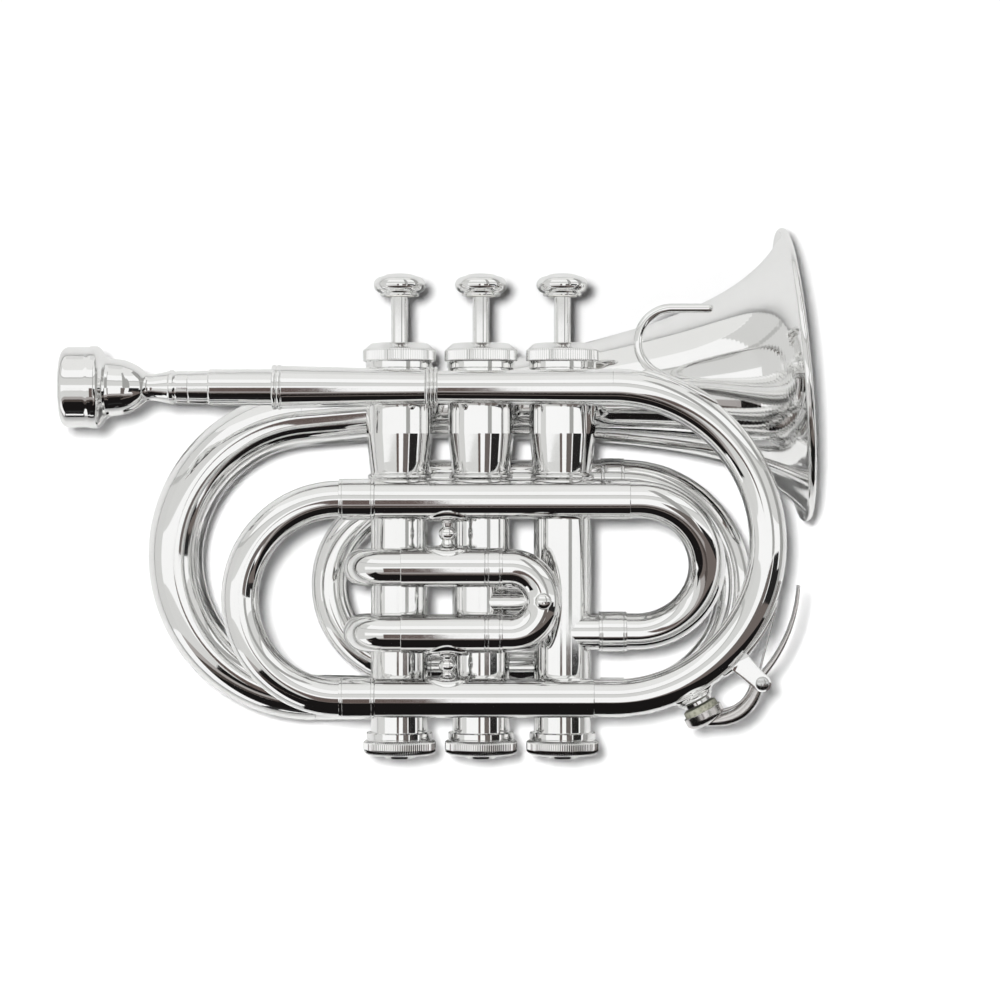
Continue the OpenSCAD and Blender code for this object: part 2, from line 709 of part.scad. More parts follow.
module second_slide_crook() {
    ferrule_end = second_y + valve_ferrule;
    mid = (second_low_z + second_high_z) / 2;
    color(silver) {
        bend_yz(0, ferrule_end + 0.5, mid, second_bow_r, -90, 180, bow_d, tube_bore);
        for (z = [second_low_z, second_high_z]) {
            tube_y(0, ferrule_end, ferrule_end + 0.5, z, bow_d, tube_bore);
            tube_y(0, second_y + solder_gap, ferrule_end, z, ferrule_d, ferrule_bore);
        }
        translate([0, ferrule_end + 0.5 + second_bow_r + bow_d / 2 - 0.4, mid]) rotate([-90, 0, 0])
            pull_knob(knob_d + 0.8);
    }
}

module second_slide_legs() {
    leg_y = second_y - second_tube + leg_inset;
    end_y = second_y + valve_ferrule - solder_gap;
    color(silver) for (z = [second_low_z, second_high_z]) tube_y(0, leg_y, end_y, z, inner_tube_d, tube_bore);
}

// Outer tubes of the third slide with their elbows into the third valve
module third_slide_tubes() {
    r = third_elbow_r;
    x = valve_x[2];
    color(silver) difference() {
        union() {
            tube_x(third_x, x - r, third_y, third_low_z, outer_tube_d, outer_bore);
            bend_xy(x - r, third_y - r, third_low_z, r, 0, 90, bow_d, tube_bore);
            tube_x(third_x, x - r, third_y, third_high_z, outer_tube_d, outer_bore);
            bend_xz(x - r, third_y, third_high_z - r, r, 0, 90, bow_d, tube_bore);
            translate([x, third_y, third_port_z + r])
                tube(bow_d, tube_bore, third_high_z - third_port_z - 2 * r);
            bend_yz(x, third_y - r, third_port_z + r, r, -90, 90, bow_d, tube_bore);
        }
        casing_outside(2, solder_gap);
    }
}

module third_slide_crook() {
    ferrule_x = third_x - valve_ferrule;
    color(silver) {
        bend_xz(third_bow_x, third_y, third_low_z + third_bow_r, third_bow_r, 90, 180, bow_d, tube_bore);
        for (z = [third_low_z, third_high_z]) {
            tube_x(third_bow_x, ferrule_x, third_y, z, bow_d, tube_bore);
            tube_x(ferrule_x, third_x - solder_gap, third_y, z, outer_tube_d, ferrule_bore);
        }
    }
}

module third_slide_legs() {
    leg_x = third_x - valve_ferrule + solder_gap;
    end_x = valve_x[2] - third_elbow_r - leg_inset;
    color(silver) for (z = [third_low_z, third_high_z])
        tube_x(leg_x, end_x, third_y, z, inner_tube_d, tube_bore);
}

// The bell is drawn upright from its rim and laid along its tilted axis
module bell() {
    steps = 34;
    wire_r = rim_wire / 2;
    stations = [for (i = [0 : steps]) (bell_len - wire_r) * pow(i / steps, 1.8) + wire_r];
    bead = [for (a = [70 : -28 : -126]) [bell_d / 2 - wire_r + wire_r * cos(a), wire_r + wire_r * sin(a)]];
    outside = [for (i = [steps : -1 : 1]) [bell_r(stations[i]), stations[i]]];
    inside = [for (i = [0 : steps]) [bell_r(stations[i]) - bell_wall, stations[i] - (i == 0 ? 0.3 : 0)]];
    color(silver) translate([rim_x, bell_y, rim_z]) rotate([0, -90 - bell_tilt, 0])
        rotate_extrude($fn = 128) polygon(concat(outside, bead, inside));
}

// Outer radius of the bell bow from its upper end, u = 0, to its lower end, u = 1
function bell_bow_radius(u) = bell_throat_r - (bell_throat_r - branch_r) * pow(u, 2.2);

module bell_bow() {
    rings = 36;
    sides = 28;
    sweep = 180 - bell_tilt;
    wall = 0.7;
    points = [for (shell = [0, 1], i = [0 : rings], k = [0 : sides - 1])
        let (
            u = i / rings,
            a = 90 + bell_tilt + sweep * u,
            b = 360 * k / sides,
            r = bell_bow_radius(u) - shell * wall,
            q = bell_bow_r + r * cos(b)
        )
        [bell_bow_x + q * cos(a), bell_y + r * sin(b), bell_bow_z + q * sin(a)]];
    count = (rings + 1) * sides;
    outer = [for (i = [0 : rings - 1], k = [0 : sides - 1])
        let (a = i * sides + k, b = i * sides + (k + 1) % sides)
        each [[a, a + sides, b + sides], [a, b + sides, b]]];
    inner = [for (f = outer) [f[0] + count, f[2] + count, f[1] + count]];
    rims = [for (i = [0, rings], k = [0 : sides - 1])
        let (a = i * sides + k, b = i * sides + (k + 1) % sides, c = a + count, d = b + count)
        each (i == 0 ? [[a, b, d], [a, d, c]] : [[a, d, b], [a, c, d]])];
    color(silver) polyhedron(points = points, faces = concat(outer, inner, rims));
}

module bell_branch() {
    wall = 0.7;
    len = branch_end_x - solder_gap - bell_bow_x;
    end_r = branch_pipe_d / 2;
    color(silver) translate([bell_bow_x, bell_y, branch_z]) rotate([0, 90, 0]) difference() {
        union() {
            cylinder(r1 = branch_r, r2 = end_r, h = len - branch_ferrule);
            cylinder(r = end_r, h = len);
        }
        translate([0, 0, -eps]) cylinder(r1 = branch_r - wall, r2 = end_r - wall, h = len - branch_ferrule);
        translate([0, 0, -1]) cylinder(r = end_r - wall, h = len + 2);
    }
}

module branch_bow() {
    color(silver) {
        bend_xz(branch_bow_x, bell_y, branch_bow_z, branch_bow_r, -90, 180, branch_pipe_d, tube_bore);
        for (z = [branch_z, branch_pipe_z]) {
            tube_x(branch_end_x, branch_bow_x, bell_y, z, branch_ferrule_d, tube_bore);
            tube_x(branch_bow_x - branch_ferrule, branch_end_x, bell_y, z, branch_ferrule_d,
                branch_pipe_d + 2 * solder_gap);
        }
    }
}

// Pipe behind the valves that turns down and forward into the first valve
module branch_pipe() {
    r = branch_elbow_r;
    x = valve_x[0];
    color(silver) difference() {
        union() {
            tube_x(x + r, branch_end_x - solder_gap, bell_y, branch_pipe_z, branch_pipe_d, tube_bore);
            bend_xz(x + r, bell_y, branch_pipe_z - r, r, 90, 90, branch_pipe_d, tube_bore);
            translate([x, bell_y, branch_port_z + r])
                tube(branch_pipe_d, tube_bore, branch_pipe_z - branch_port_z - 2 * r);
            bend_yz(x, bell_y - r, branch_port_z + r, r, -90, 90, branch_pipe_d, tube_bore);
            tube_y(x, 0, bell_y - r, branch_port_z, branch_pipe_d, tube_bore);
        }
        casing_outside(0, solder_gap);
    }
}

// Flange that hugs a level tube, cut round by an upright cylinder
module flange_on_tube(z, side, tube_d, r) {
    intersection() {
        translate([post_x, -front_y, z]) rotate([0, 90, 0]) translate([0, 0, -r])
            tube(tube_d + 2 * plate, tube_d + 2 * solder_gap, 2 * r);
        translate([post_x, -front_y, z + (side < 0 ? -tube_d : 0)]) cylinder(r = r, h = tube_d);
    }
}

module brace_post(z0, z1) {
    mid = (z0 + z1) / 2;
    translate([post_x, -front_y, 0]) union() {
        translate([0, 0, z0]) cylinder(d = post_d, h = z1 - z0);
        translate([0, 0, mid]) sphere(d = post_d + 1.6);
    }
}

// Posts between the slide tubes and the first slide, and stays from the slide tubes to the casings
module slide_braces() {
    post_low = lower_z + outer_tube_d / 2 + plate / 2;
    post_high = upper_z - outer_tube_d / 2 - plate / 2;
    color(silver) {
        brace_post(first_high_z + outer_tube_d / 2 + plate / 2, post_high);
        brace_post(post_low, first_low_z - outer_tube_d / 2 - plate / 2);
        flange_on_tube(upper_z, -1, outer_tube_d, flange_r);
        flange_on_tube(first_high_z, 1, outer_tube_d, flange_r);
        flange_on_tube(first_low_z, -1, outer_tube_d, flange_r);
        flange_on_tube(lower_z, 1, outer_tube_d, flange_r);
        for (z = [lower_z, upper_z], i = [0, 2]) casing_stay(i, z);
    }
}

// Short round stay from a slide tube to a casing, cut to both
module casing_stay(i, z) {
    difference() {
        translate([valve_x[i], -front_y, z]) rotate([-90, 0, 0]) cylinder(d = stay_d, h = front_y);
        casing_outside(i, solder_gap);
        translate([valve_x[i] - casing_d / 2, -front_y, z]) rotate([0, 90, 0])
            cylinder(d = outer_tube_d + 2 * solder_gap, h = casing_d);
    }
}

// Post from the leadpipe back to the bell, with a round foot on each
module bell_brace() {
    x = front_bow_x - 1;
    axis_z = rim_z - (rim_x - x) * tan(bell_tilt);
    color(silver) difference() {
        union() {
            translate([x, -front_y, leadpipe_z]) rotate([-90, 0, 0])
                cylinder(d = post_d, h = bell_y + front_y);
            translate([x, -front_y + bow_d / 2 - 1, leadpipe_z]) rotate([-90, 0, 0])
                cylinder(d = brace_foot_d, h = 2.4);
            translate([x, bell_y - bell_r((rim_x - x) / cos(bell_tilt)) - 1.6, leadpipe_z])
                rotate([-90, 0, 0]) cylinder(d = brace_foot_d + 1, h = 6);
        }
        translate([rim_x, bell_y, rim_z]) rotate([0, -90 - bell_tilt, 0]) rotate_extrude()
            polygon(concat([[0, 20]], [for (a = [20 : 10 : 110]) [bell_r(a) + solder_gap, a]], [[0, 110]]));
        translate([x - 20, -front_y, leadpipe_z]) rotate([0, 90, 0])
            cylinder(d = bow_d + 2 * solder_gap, h = 40);
    }
}

module finger_hook() {
    toe_a = 90 + hook_sweep;
    toe = [finger_hook_x + hook_r * cos(toe_a), finger_hook_z + hook_r * sin(toe_a)];
    foot = toe + hook_foot * [-sin(toe_a), cos(toe_a)];
    color(silver) {
        difference() {
            union() {
                translate([finger_hook_x, -front_y, finger_hook_z]) rotate([90, 0, 0]) rotate([0, 0, 90])
                    rotate_extrude(angle = hook_sweep) translate([hook_r, 0]) circle(d = hook_d);
                translate([finger_hook_x, -front_y, finger_hook_z + hook_r]) rotate([0, 90, 0])
                    cylinder(d = hook_d, h = hook_tip);
                translate([finger_hook_x + hook_tip, -front_y, finger_hook_z + hook_r]) sphere(d = hook_d);
                rod([toe[0], -front_y, toe[1]], [foot[0], -front_y, foot[1]], hook_d);
            }
            bow_stretch(40, 90);
        }
        saddle_plate(54, 80, 36);
    }
}

// Solid stretch of the big bow between two angles, widened by the solder gap, to cut feet that sit on it
module bow_stretch(start, end) {
    translate([front_bow_x, -front_y, front_bow_z]) rotate([90, 0, 0]) rotate([0, 0, start])
        rotate_extrude(angle = end - start) translate([front_bow_r, 0]) circle(d = bow_d + 2 * solder_gap);
}

// Plate that hugs the outside of the big bow between two angles
module saddle_plate(start, end, spread) {
    inner = bow_d / 2 + solder_gap;
    translate([front_bow_x, -front_y, front_bow_z]) rotate([90, 0, 0]) rotate([0, 0, start])
        rotate_extrude(angle = end - start) translate([front_bow_r, 0]) polygon(concat(
            [for (a = [-spread : spread / 4 : spread]) inner * [cos(a), sin(a)]],
            [for (a = [spread : -spread / 4 : -spread]) (inner + plate) * [cos(a), sin(a)]]
        ));
}

// Frame whose +X points out from the big bow at an angle, on its centre line
module on_bow(angle) {
    translate([front_bow_x, -front_y, front_bow_z]) rotate([0, -angle, 0]) translate([front_bow_r, 0, 0])
        children();
}

module water_key_saddle() {
    color(silver) {
        difference() {
            on_bow(seat_angle) rotate([0, 90, 0]) difference() {
                union() {
                    translate([0, 0, bow_d / 4]) cylinder(d = seat_d + 3, h = bow_d / 4 + plate);
                    translate([0, 0, bow_d / 4]) cylinder(d = seat_d, h = seat_out - bow_d / 4);
                }
                cylinder(d = seat_bore, h = 2 * seat_out);
            }
            bow_stretch(seat_angle - 15, seat_angle + 15);
        }
        saddle_plate(pivot_angle - 7, pivot_angle + 7, 50);
        on_bow(pivot_angle) for (side = [-1, 1]) difference() {
            translate([0, side * (ear_gap + ear_w) / 2 + ear_w / 2, 0]) rotate([90, 0, 0])
                linear_extrude(ear_w) union() {
                    translate([ear_foot, -ear_r]) square([pivot_out - ear_foot, 2 * ear_r]);
                    translate([pivot_out, 0]) circle(r = ear_r);
                }
            translate([pivot_out, 0, 0]) rotate([90, 0, 0])
                cylinder(d = pivot_d + 2 * running_gap, h = 30, center = true);
        }
    }
}

module water_key_pivot() {
    w = ear_gap / 2 + ear_w;
    color(steel) on_bow(pivot_angle) translate([pivot_out, 0, 0]) rotate([90, 0, 0]) union() {
        translate([0, 0, -w - 0.8]) cylinder(d = pivot_d, h = 2 * w + 1.2);
        translate([0, 0, w + solder_gap]) cylinder(d = pivot_d + 1.6, h = 0.9);
    }
}

module water_key_spring() {
    h = key_spring_w;
    wire = key_spring_wire;
    r = pivot_d / 2 + 0.8;
    side = h / 2 - wire / 2;
    tip_r = front_bow_r + bow_d / 2 + free_gap + wire / 2 + 0.1;
    spring_tip = [tip_r * cos(20) - front_bow_r - pivot_out, 0, tip_r * sin(20)];
    color(steel) on_bow(pivot_angle) translate([pivot_out, 0, 0]) {
        translate([0, h / 2, 0]) rotate([90, 0, 0]) coil(r, wire, 2, h);
        rod([-r, -side, 0], spring_tip + [0, -side, 0], wire);
    }
}

// Point of the side view at a radius and an angle from the centre of the big bow
function bow_point(r, a) = [front_bow_x + r * cos(a), front_bow_z + r * sin(a)];

// Strip of the side view that follows the big bow between two angles, given its inner and outer radii
module strip(width, inner, outer, start, end) {
    n = len(inner) - 1;
    translate([0, -front_y + width / 2, 0]) rotate([90, 0, 0]) linear_extrude(width) polygon(concat(
        [for (i = [0 : n]) bow_point(inner[i], start + (end - start) * i / n)],
        [for (i = [n : -1 : 0]) bow_point(outer[i], start + (end - start) * i / n)]
    ));
}

// Rocking lever with two cheeks on the pivot, a curved arm to the cup and a thumb leaf
module water_key_lever() {
    cheek = 1.6;
    arm_rise = 3.6;
    leaf_drop = 2.6;
    barrel_w = ear_gap - 2 * free_gap;
    n = 10;
    base_r = front_bow_r + pivot_out - 0.6;
    arm = [for (i = [0 : n]) base_r + arm_rise * sin(180 * i / n)];
    leaf = [for (i = [0 : n]) base_r - 1.6 - leaf_drop * pow(i / n, 2)];
    color(silver) difference() {
        union() {
            on_bow(pivot_angle) translate([pivot_out, 0, 0]) rotate([90, 0, 0])
                cylinder(d = 5.4, h = barrel_w, center = true);
            strip(5, [for (r = arm) r - 1.5], [for (r = arm) r + 1.5], pivot_angle, seat_angle);
            strip(6, leaf, [for (r = leaf) r + 1.2], pivot_angle + 1, pivot_angle + 30.4);
            on_bow(seat_angle) translate([seat_out + 1.8, 0, 0]) rotate([0, 90, 0])
                cylinder(d = cup_d_out, h = cork_h - 0.2);
        }
        on_bow(pivot_angle) translate([pivot_out, 0, 0]) rotate([90, 0, 0])
            cylinder(d = pivot_d + 2 * running_gap, h = 30, center = true);
        on_bow(pivot_angle) translate([pivot_out, 0, 0]) rotate([90, 0, 0])
            cylinder(d = 6, h = barrel_w - 2 * cheek, center = true);
        on_bow(seat_angle) translate([seat_out, 0, 0]) rotate([0, 90, 0])
            cylinder(d = cork_d + 2 * solder_gap, h = free_gap + cork_h + solder_gap);
    }
}

module water_key_cork() {
    color(cork_colour) on_bow(seat_angle) translate([seat_out + free_gap, 0, 0]) rotate([0, 90, 0])
        cylinder(d = cork_d, h = cork_h);
}

mouthpiece();
mouthpiece_receiver();
leadpipe();
leadpipe_collar();
leadpipe_bow();
lower_slide_tube();
upper_slide_tube();
crossover_bow();
main_slide_crook();
main_slide_legs();
valve_casing(0);  // valve_casing_1
valve_casing(1);  // valve_casing_2
valve_casing(2);  // valve_casing_3
valve_links();
top_cap(0);  // top_cap_1
top_cap(1);  // top_cap_2
top_cap(2);  // top_cap_3
bottom_cap(0);  // bottom_cap_1
bottom_cap(1);  // bottom_cap_2
bottom_cap(2);  // bottom_cap_3
valve_guide(0);  // valve_guide_1
valve_guide(1);  // valve_guide_2
valve_guide(2);  // valve_guide_3
valve_spring(0);  // valve_spring_1
valve_spring(1);  // valve_spring_2
valve_spring(2);  // valve_spring_3
piston(0);  // piston_1
piston(1);  // piston_2
piston(2);  // piston_3
valve_stem(0);  // valve_stem_1
valve_stem(1);  // valve_stem_2
valve_stem(2);  // valve_stem_3
stem_felts(0);  // stem_felts_1
stem_felts(1);  // stem_felts_2
stem_felts(2);  // stem_felts_3
finger_button(0);  // finger_button_1
finger_button(1);  // finger_button_2
finger_button(2);  // finger_button_3
first_slide_tubes();
first_slide_crook();
first_slide_legs();
second_slide_tubes();
second_slide_crook();
second_slide_legs();
third_slide_tubes();
third_slide_crook();
third_slide_legs();
bell();
bell_bow();
bell_branch();
branch_bow();
branch_pipe();
slide_braces();
bell_brace();
finger_hook();
water_key_saddle();
water_key_pivot();
water_key_spring();
water_key_lever();
water_key_cork();
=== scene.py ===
"""Pocket trumpet: silver-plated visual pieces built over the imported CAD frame, with its studio."""

import bmesh
import bpy
import numpy as np
from math import acos, cos, degrees, pi, radians, sin, sqrt, tan
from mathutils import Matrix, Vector
from numpy import arange, linspace
from numpy.linalg import norm

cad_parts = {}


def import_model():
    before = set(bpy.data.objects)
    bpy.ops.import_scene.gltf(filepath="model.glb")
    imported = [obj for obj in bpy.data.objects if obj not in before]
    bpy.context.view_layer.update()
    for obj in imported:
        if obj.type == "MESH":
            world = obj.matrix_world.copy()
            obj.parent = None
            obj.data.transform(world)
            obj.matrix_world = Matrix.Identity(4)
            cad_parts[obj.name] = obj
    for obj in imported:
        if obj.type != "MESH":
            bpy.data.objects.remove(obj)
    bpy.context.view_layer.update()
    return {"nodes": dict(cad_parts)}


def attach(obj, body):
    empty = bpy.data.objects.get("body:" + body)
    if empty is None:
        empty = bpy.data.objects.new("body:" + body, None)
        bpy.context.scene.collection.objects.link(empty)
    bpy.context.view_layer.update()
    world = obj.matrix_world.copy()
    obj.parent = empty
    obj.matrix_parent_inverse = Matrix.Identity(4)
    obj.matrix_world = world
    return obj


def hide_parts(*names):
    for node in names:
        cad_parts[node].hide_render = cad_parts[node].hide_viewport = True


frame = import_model()

MM = 0.001

# Driving sizes in mm, as in the CAD source. SEAM parts pieces that meet, SLIP a slide's ferrule from its tube
PITCH = 27.0
CASING_R = 9.5
CASING_BORE_R = 8.45
CASING_FOOT_Z = 2.6
CHAMBER_R = 11.0
CHAMBER_BORE_R = 9.6
BEAD_Z = 93.5
CHAMBER_Z = 107.4
CAP_SEAT_Z = 129.0
TOP_CAP_R = 11.95
BOTTOM_CAP_R = 11.7
KNURL_TEETH = 96
KNURL_DEPTH = 0.3
TOP_KNURL_DEPTH = 0.13
STEM_R = 2.8
STEM_BORE_R = STEM_R + 0.06
STEM_FOOT_Z = 129.1
BUTTON_R = 8.6
BUTTON_Z = 153.1
BUTTON_SOCKET = 3.8
FELT_LOW_Z = 131.2
FELT_HIGH_Z = 133.9

BOW_R = 6.1
BORE_R = 5.45
OUTER_R = 6.4
OUTER_BORE_R = 5.9
INNER_R = 5.85
FERRULE_R = 6.7
FERRULE_BORE_R = INNER_R + 0.03
SEAM = 0.05
SLIP = 0.08
FRONT_Y = -17.0
THIRD_Y = 17.0
BELL_Y = 30.0
LINK_Y = -3.0

LEAD_Z = 122.3
RECEIVER_X = -68.0
RECEIVER_END_X = -17.9
RECEIVER_R = 7.0
MOUTHPIECE_LEN = 88.6
SHANK_DEPTH = 20.0
RIM_FACE_R = 13.1
SHANK_R = 5.9
COLLAR_W = 3.9
COLLAR_R = 6.8
LEADPIPE_R = 5.3
LEADPIPE_BORE_R = 4.4
FRONT_BOW_X = 43.0
LOWER_Z = 21.0
UPPER_Z = 85.7
SLIDE_X = -34.5
SLIDE_LEG = 58.0
UPPER_END_X = 48.7
LOWER_END_X = 36.9
CROSS_Z = 42.0
CROSS_X = 51.3
CROSS_FERRULE_X = 38.9
CROSS_FERRULE = 9.2

FIRST_LOW_Z = 42.0
FIRST_HIGH_Z = 63.5
LINK_23_Z = 52.0
FIRST_X = -26.0
FIRST_END_X = 1.4
FIRST_LEG_X = -21.4
FIRST_LEAD = 2.4
HOOK_X = -30.6
SECOND_LOW_Z = 46.5
SECOND_HIGH_Z = 68.5
SECOND_Y = 26.5
SECOND_BORE_Y = 11.9
SECOND_LEG_Y = 12.6
SECOND_LEAD = 0.5
VALVE_FERRULE = 5.8
THIRD_LOW_Z = 29.0
THIRD_HIGH_Z = 85.2
THIRD_PORT_Z = 62.5
THIRD_X = -17.0
THIRD_LEAD = 0.2

BELL_R = 50.2
RIM_WIRE_R = 1.4
BELL_WALL = 0.7
RIM_X = 107.8
RIM_Z = 128.4
BELL_TILT = radians(5.0)
FLARE_LEN = 13.1
FLARE_POWER = 0.28
FLARE_OFFSET = 31.0
THROAT_R = 9.8
BELL_BOW_X = -56.5
BRANCH_R = 7.7
BRANCH_Z = 18.2
BRANCH_PIPE_R = 6.3
BRANCH_FERRULE_R = 6.8
BRANCH_FERRULE = 8.0
BRANCH_BOW_X = 48.6
BRANCH_PIPE_Z = 93.0
BRANCH_PORT_Z = 57.0
BRANCH_BEND_R = 10.0

BRACE_X = -10.8
FOOT_W = 7.1
FOOT_R = 5.8
STAY_R = 3.5

VALVE_X = (-PITCH, 0.0, PITCH)
X, Y, Z = np.eye(3)


def vec(*values):
    return np.array(values, float)


def halves(low, high):
    """Middle of two heights, and half their distance."""
    return (low + high) / 2, (high - low) / 2


FRONT_BOW_Z, FRONT_BOW_R = halves(LOWER_Z, LEAD_Z)
SLIDE_BOW_Z, SLIDE_BOW_R = halves(LOWER_Z, UPPER_Z)
SLIDE_BOW_X = SLIDE_X - 11.6


def add_object(name, data):
    obj = bpy.data.objects.new(name, data)
    bpy.context.scene.collection.objects.link(obj)
    return obj


# ---- Materials ----


def new_material(name):
    material = bpy.data.materials.new(name)
    material.use_nodes = True
    tree = material.node_tree
    return material, tree, tree.nodes["Principled BSDF"]


def new_node(tree, kind):
    return tree.nodes.new(f"ShaderNode{kind}")


def feed(tree, socket, value):
    """Give a socket another node's output, or a plain value."""
    if isinstance(value, bpy.types.NodeSocket):
        tree.links.new(value, socket)
    else:
        socket.default_value = value


def set_inputs(tree, node, **inputs):
    for key, value in inputs.items():
        feed(tree, node.inputs[key.replace("_", " ")], value)
    return node


def add_node(tree, kind, **inputs):
    return set_inputs(tree, new_node(tree, kind), **inputs)


def chain(tree, kind, *sources, operation=None):
    """Output of a new node whose inputs are fed in their own order."""
    node = new_node(tree, kind)
    if operation:
        node.operation = operation
    for socket, source in zip(node.inputs, sources):
        feed(tree, socket, source)
    return node.outputs[0]


def object_space(tree):
    return new_node(tree, "TexCoord").outputs["Object"]


def noise_field(tree, scale, detail=3.0, roughness=0.55):
    where = object_space(tree)
    noise = add_node(tree, "TexNoise", Vector=where, Scale=scale, Detail=detail, Roughness=roughness)
    return noise.outputs["Fac"]


def remap(tree, value, low, high, start=0.3, end=0.7):
    node = add_node(tree, "MapRange", Value=value, From_Min=start, From_Max=end, To_Min=low, To_Max=high)
    return node.outputs["Result"]


def mix_colour(tree, factor, first, second):
    """Colour between two, each a tuple or another node's output."""
    node = new_node(tree, "Mix")
    node.data_type = "RGBA"
    feed(tree, node.inputs[0], factor)
    for socket, colour in ((node.inputs[6], first), (node.inputs[7], second)):
        feed(tree, socket, (*colour, 1) if isinstance(colour, tuple) else colour)
    return node.outputs[2]


def add_bump(tree, shader, height, strength, distance):
    bump = add_node(tree, "Bump", Strength=strength, Distance=distance, Height=height)
    set_inputs(tree, shader, Normal=bump.outputs["Normal"])


def metal(name, bright, dull, rough_low, rough_high, wave):
    """Polished metal: cloudy change of tone and gloss, and a very shallow hand-buffed ripple."""
    material, tree, shader = new_material(name)
    cloud_scale, fine_scale, ripple_scale, ripple_depth = 38.0, 420.0, 46.0, 0.00012
    cloud = remap(tree, noise_field(tree, cloud_scale, 4.0), 0.0, 1.0)
    gloss = remap(tree, noise_field(tree, fine_scale, 5.0, 0.7), rough_low, rough_high)
    set_inputs(tree, shader, Metallic=1.0, Base_Color=mix_colour(tree, cloud, bright, dull), Roughness=gloss)
    add_bump(tree, shader, noise_field(tree, ripple_scale, 1.0, 0.3), wave, ripple_depth)
    return material


def brushed(name, bright, dull, roughness):
    """Lapped, drawn or cast metal, finely streaked."""
    material, tree, shader = new_material(name)
    across, along, groove = 300.0, 6000.0, 0.00005
    stretch = add_node(tree, "Mapping", Vector=object_space(tree), Scale=(across, across, along))
    streak = add_node(tree, "TexNoise", Vector=stretch.outputs["Vector"], Scale=1.0, Detail=3.0)
    grain = streak.outputs["Fac"]
    gloss = remap(tree, grain, roughness * 0.7, roughness * 1.3)
    set_inputs(tree, shader, Metallic=1.0, Base_Color=mix_colour(tree, grain, bright, dull), Roughness=gloss)
    add_bump(tree, shader, grain, 0.15, groove)
    return material


def felt_material():
    material, tree, shader = new_material("felt")
    fibre = noise_field(tree, 1800.0, 6.0, 0.8)
    colour = mix_colour(tree, fibre, (0.62, 0.60, 0.55), (0.82, 0.81, 0.77))
    set_inputs(tree, shader, Base_Color=colour, Roughness=0.95, Sheen_Weight=0.4)
    add_bump(tree, shader, fibre, 0.8, 0.0003)
    return material


def cork_material():
    material, tree, shader = new_material("cork")
    cells = add_node(tree, "TexVoronoi", Vector=object_space(tree), Scale=900.0)
    grain = remap(tree, cells.outputs["Distance"], 0.0, 1.0, 0.1, 0.6)
    colour = mix_colour(tree, grain, (0.17, 0.17, 0.13), (0.32, 0.32, 0.26))
    set_inputs(tree, shader, Base_Color=colour, Roughness=0.85)
    add_bump(tree, shader, grain, 0.5, 0.0002)
    return material


def nylon_material():
    material, tree, shader = new_material("nylon")
    cloud = noise_field(tree, 300.0)
    colour = mix_colour(tree, cloud, (0.86, 0.86, 0.82), (0.93, 0.93, 0.90))
    set_inputs(tree, shader, Base_Color=colour, Roughness=remap(tree, cloud, 0.4, 0.55))
    return material


SILVER = metal("silver_plate", (0.93, 0.93, 0.925), (0.90, 0.90, 0.89), 0.035, 0.075, 0.05)
STEEL = brushed("spring_steel", (0.66, 0.66, 0.66), (0.80, 0.80, 0.79), 0.22)
LAPPED = brushed("piston_metal", (0.68, 0.69, 0.69), (0.80, 0.80, 0.79), 0.22)
CAST = brushed("cast_plate", (0.66, 0.64, 0.63), (0.78, 0.76, 0.75), 0.2)
FELT = felt_material()
CORK = cork_material()
NYLON = nylon_material()


# ---- Mesh tools ----


def ring_axes(axis):
    """Two unit vectors square to an axis and to each other."""
    helper = Y if abs(axis @ Y) < 0.9 else X
    u = np.cross(helper, axis)
    u /= norm(u)
    return u, np.cross(axis, u)


def fillet(points, radius, steps=4, closed=False):
    """Profile with its corners rounded to a radius, or as much of it as the sides leave room for."""
    points = [vec(*p) for p in points]
    count = len(points)
    out = []
    for i, p in enumerate(points):
        if not closed and i in (0, count - 1):
            out.append(p)
            continue
        a, b = points[i - 1] - p, points[(i + 1) % count] - p
        la, lb = norm(a), norm(b)
        if la < 1e-6 or lb < 1e-6:
            continue
        a, b = a / la, b / lb
        half = acos(max(-1.0, min(1.0, a @ b))) / 2
        if half > radians(86) or half < radians(4):
            out.append(p)
            continue
        reach = min(radius / tan(half), 0.45 * la, 0.45 * lb)
        centre = p + (a + b) / norm(a + b) * reach * tan(half) / sin(half)
        start, end = p + a * reach - centre, p + b * reach - centre
        turn = (pi - 2 * half) * (1.0 if start[0] * end[1] - start[1] * end[0] > 0 else -1.0)
        for k in range(steps + 1):
            c, s = cos(turn * k / steps), sin(turn * k / steps)
            out.append(centre + vec(start[0] * c - start[1] * s, start[0] * s + start[1] * c))
    return out


def spline(points, per_span=6):
    """Smooth open curve through the given points."""
    pts = [vec(*p) for p in points]
    pts = [2 * pts[0] - pts[1], *pts, 2 * pts[-1] - pts[-2]]
    out = []
    for a, b, c, d in zip(pts, pts[1:], pts[2:], pts[3:]):
        for t in arange(per_span) / per_span:
            bend, twist = 2 * a - 5 * b + 4 * c - d, 3 * b - a - 3 * c + d
            out.append(0.5 * (2 * b + (c - a) * t + bend * t * t + twist * t ** 3))
    out.append(pts[-2])
    return out


def support_rings(profile, closed, reach=0.15):
    """Profile with extra points near the ends of its long stretches, so that they shade flat."""
    out = []
    count = len(profile)
    for i in range(count if closed else count - 1):
        a, b = (vec(*(tuple(p) + (0.0,))[:3]) for p in (profile[i], profile[(i + 1) % count]))
        length = norm(b - a)
        out.append(a)
        if length > 6 * reach:
            out += [a + (b - a) * reach / length, b - (b - a) * reach / length]
    return out if closed else [*out, profile[-1]]


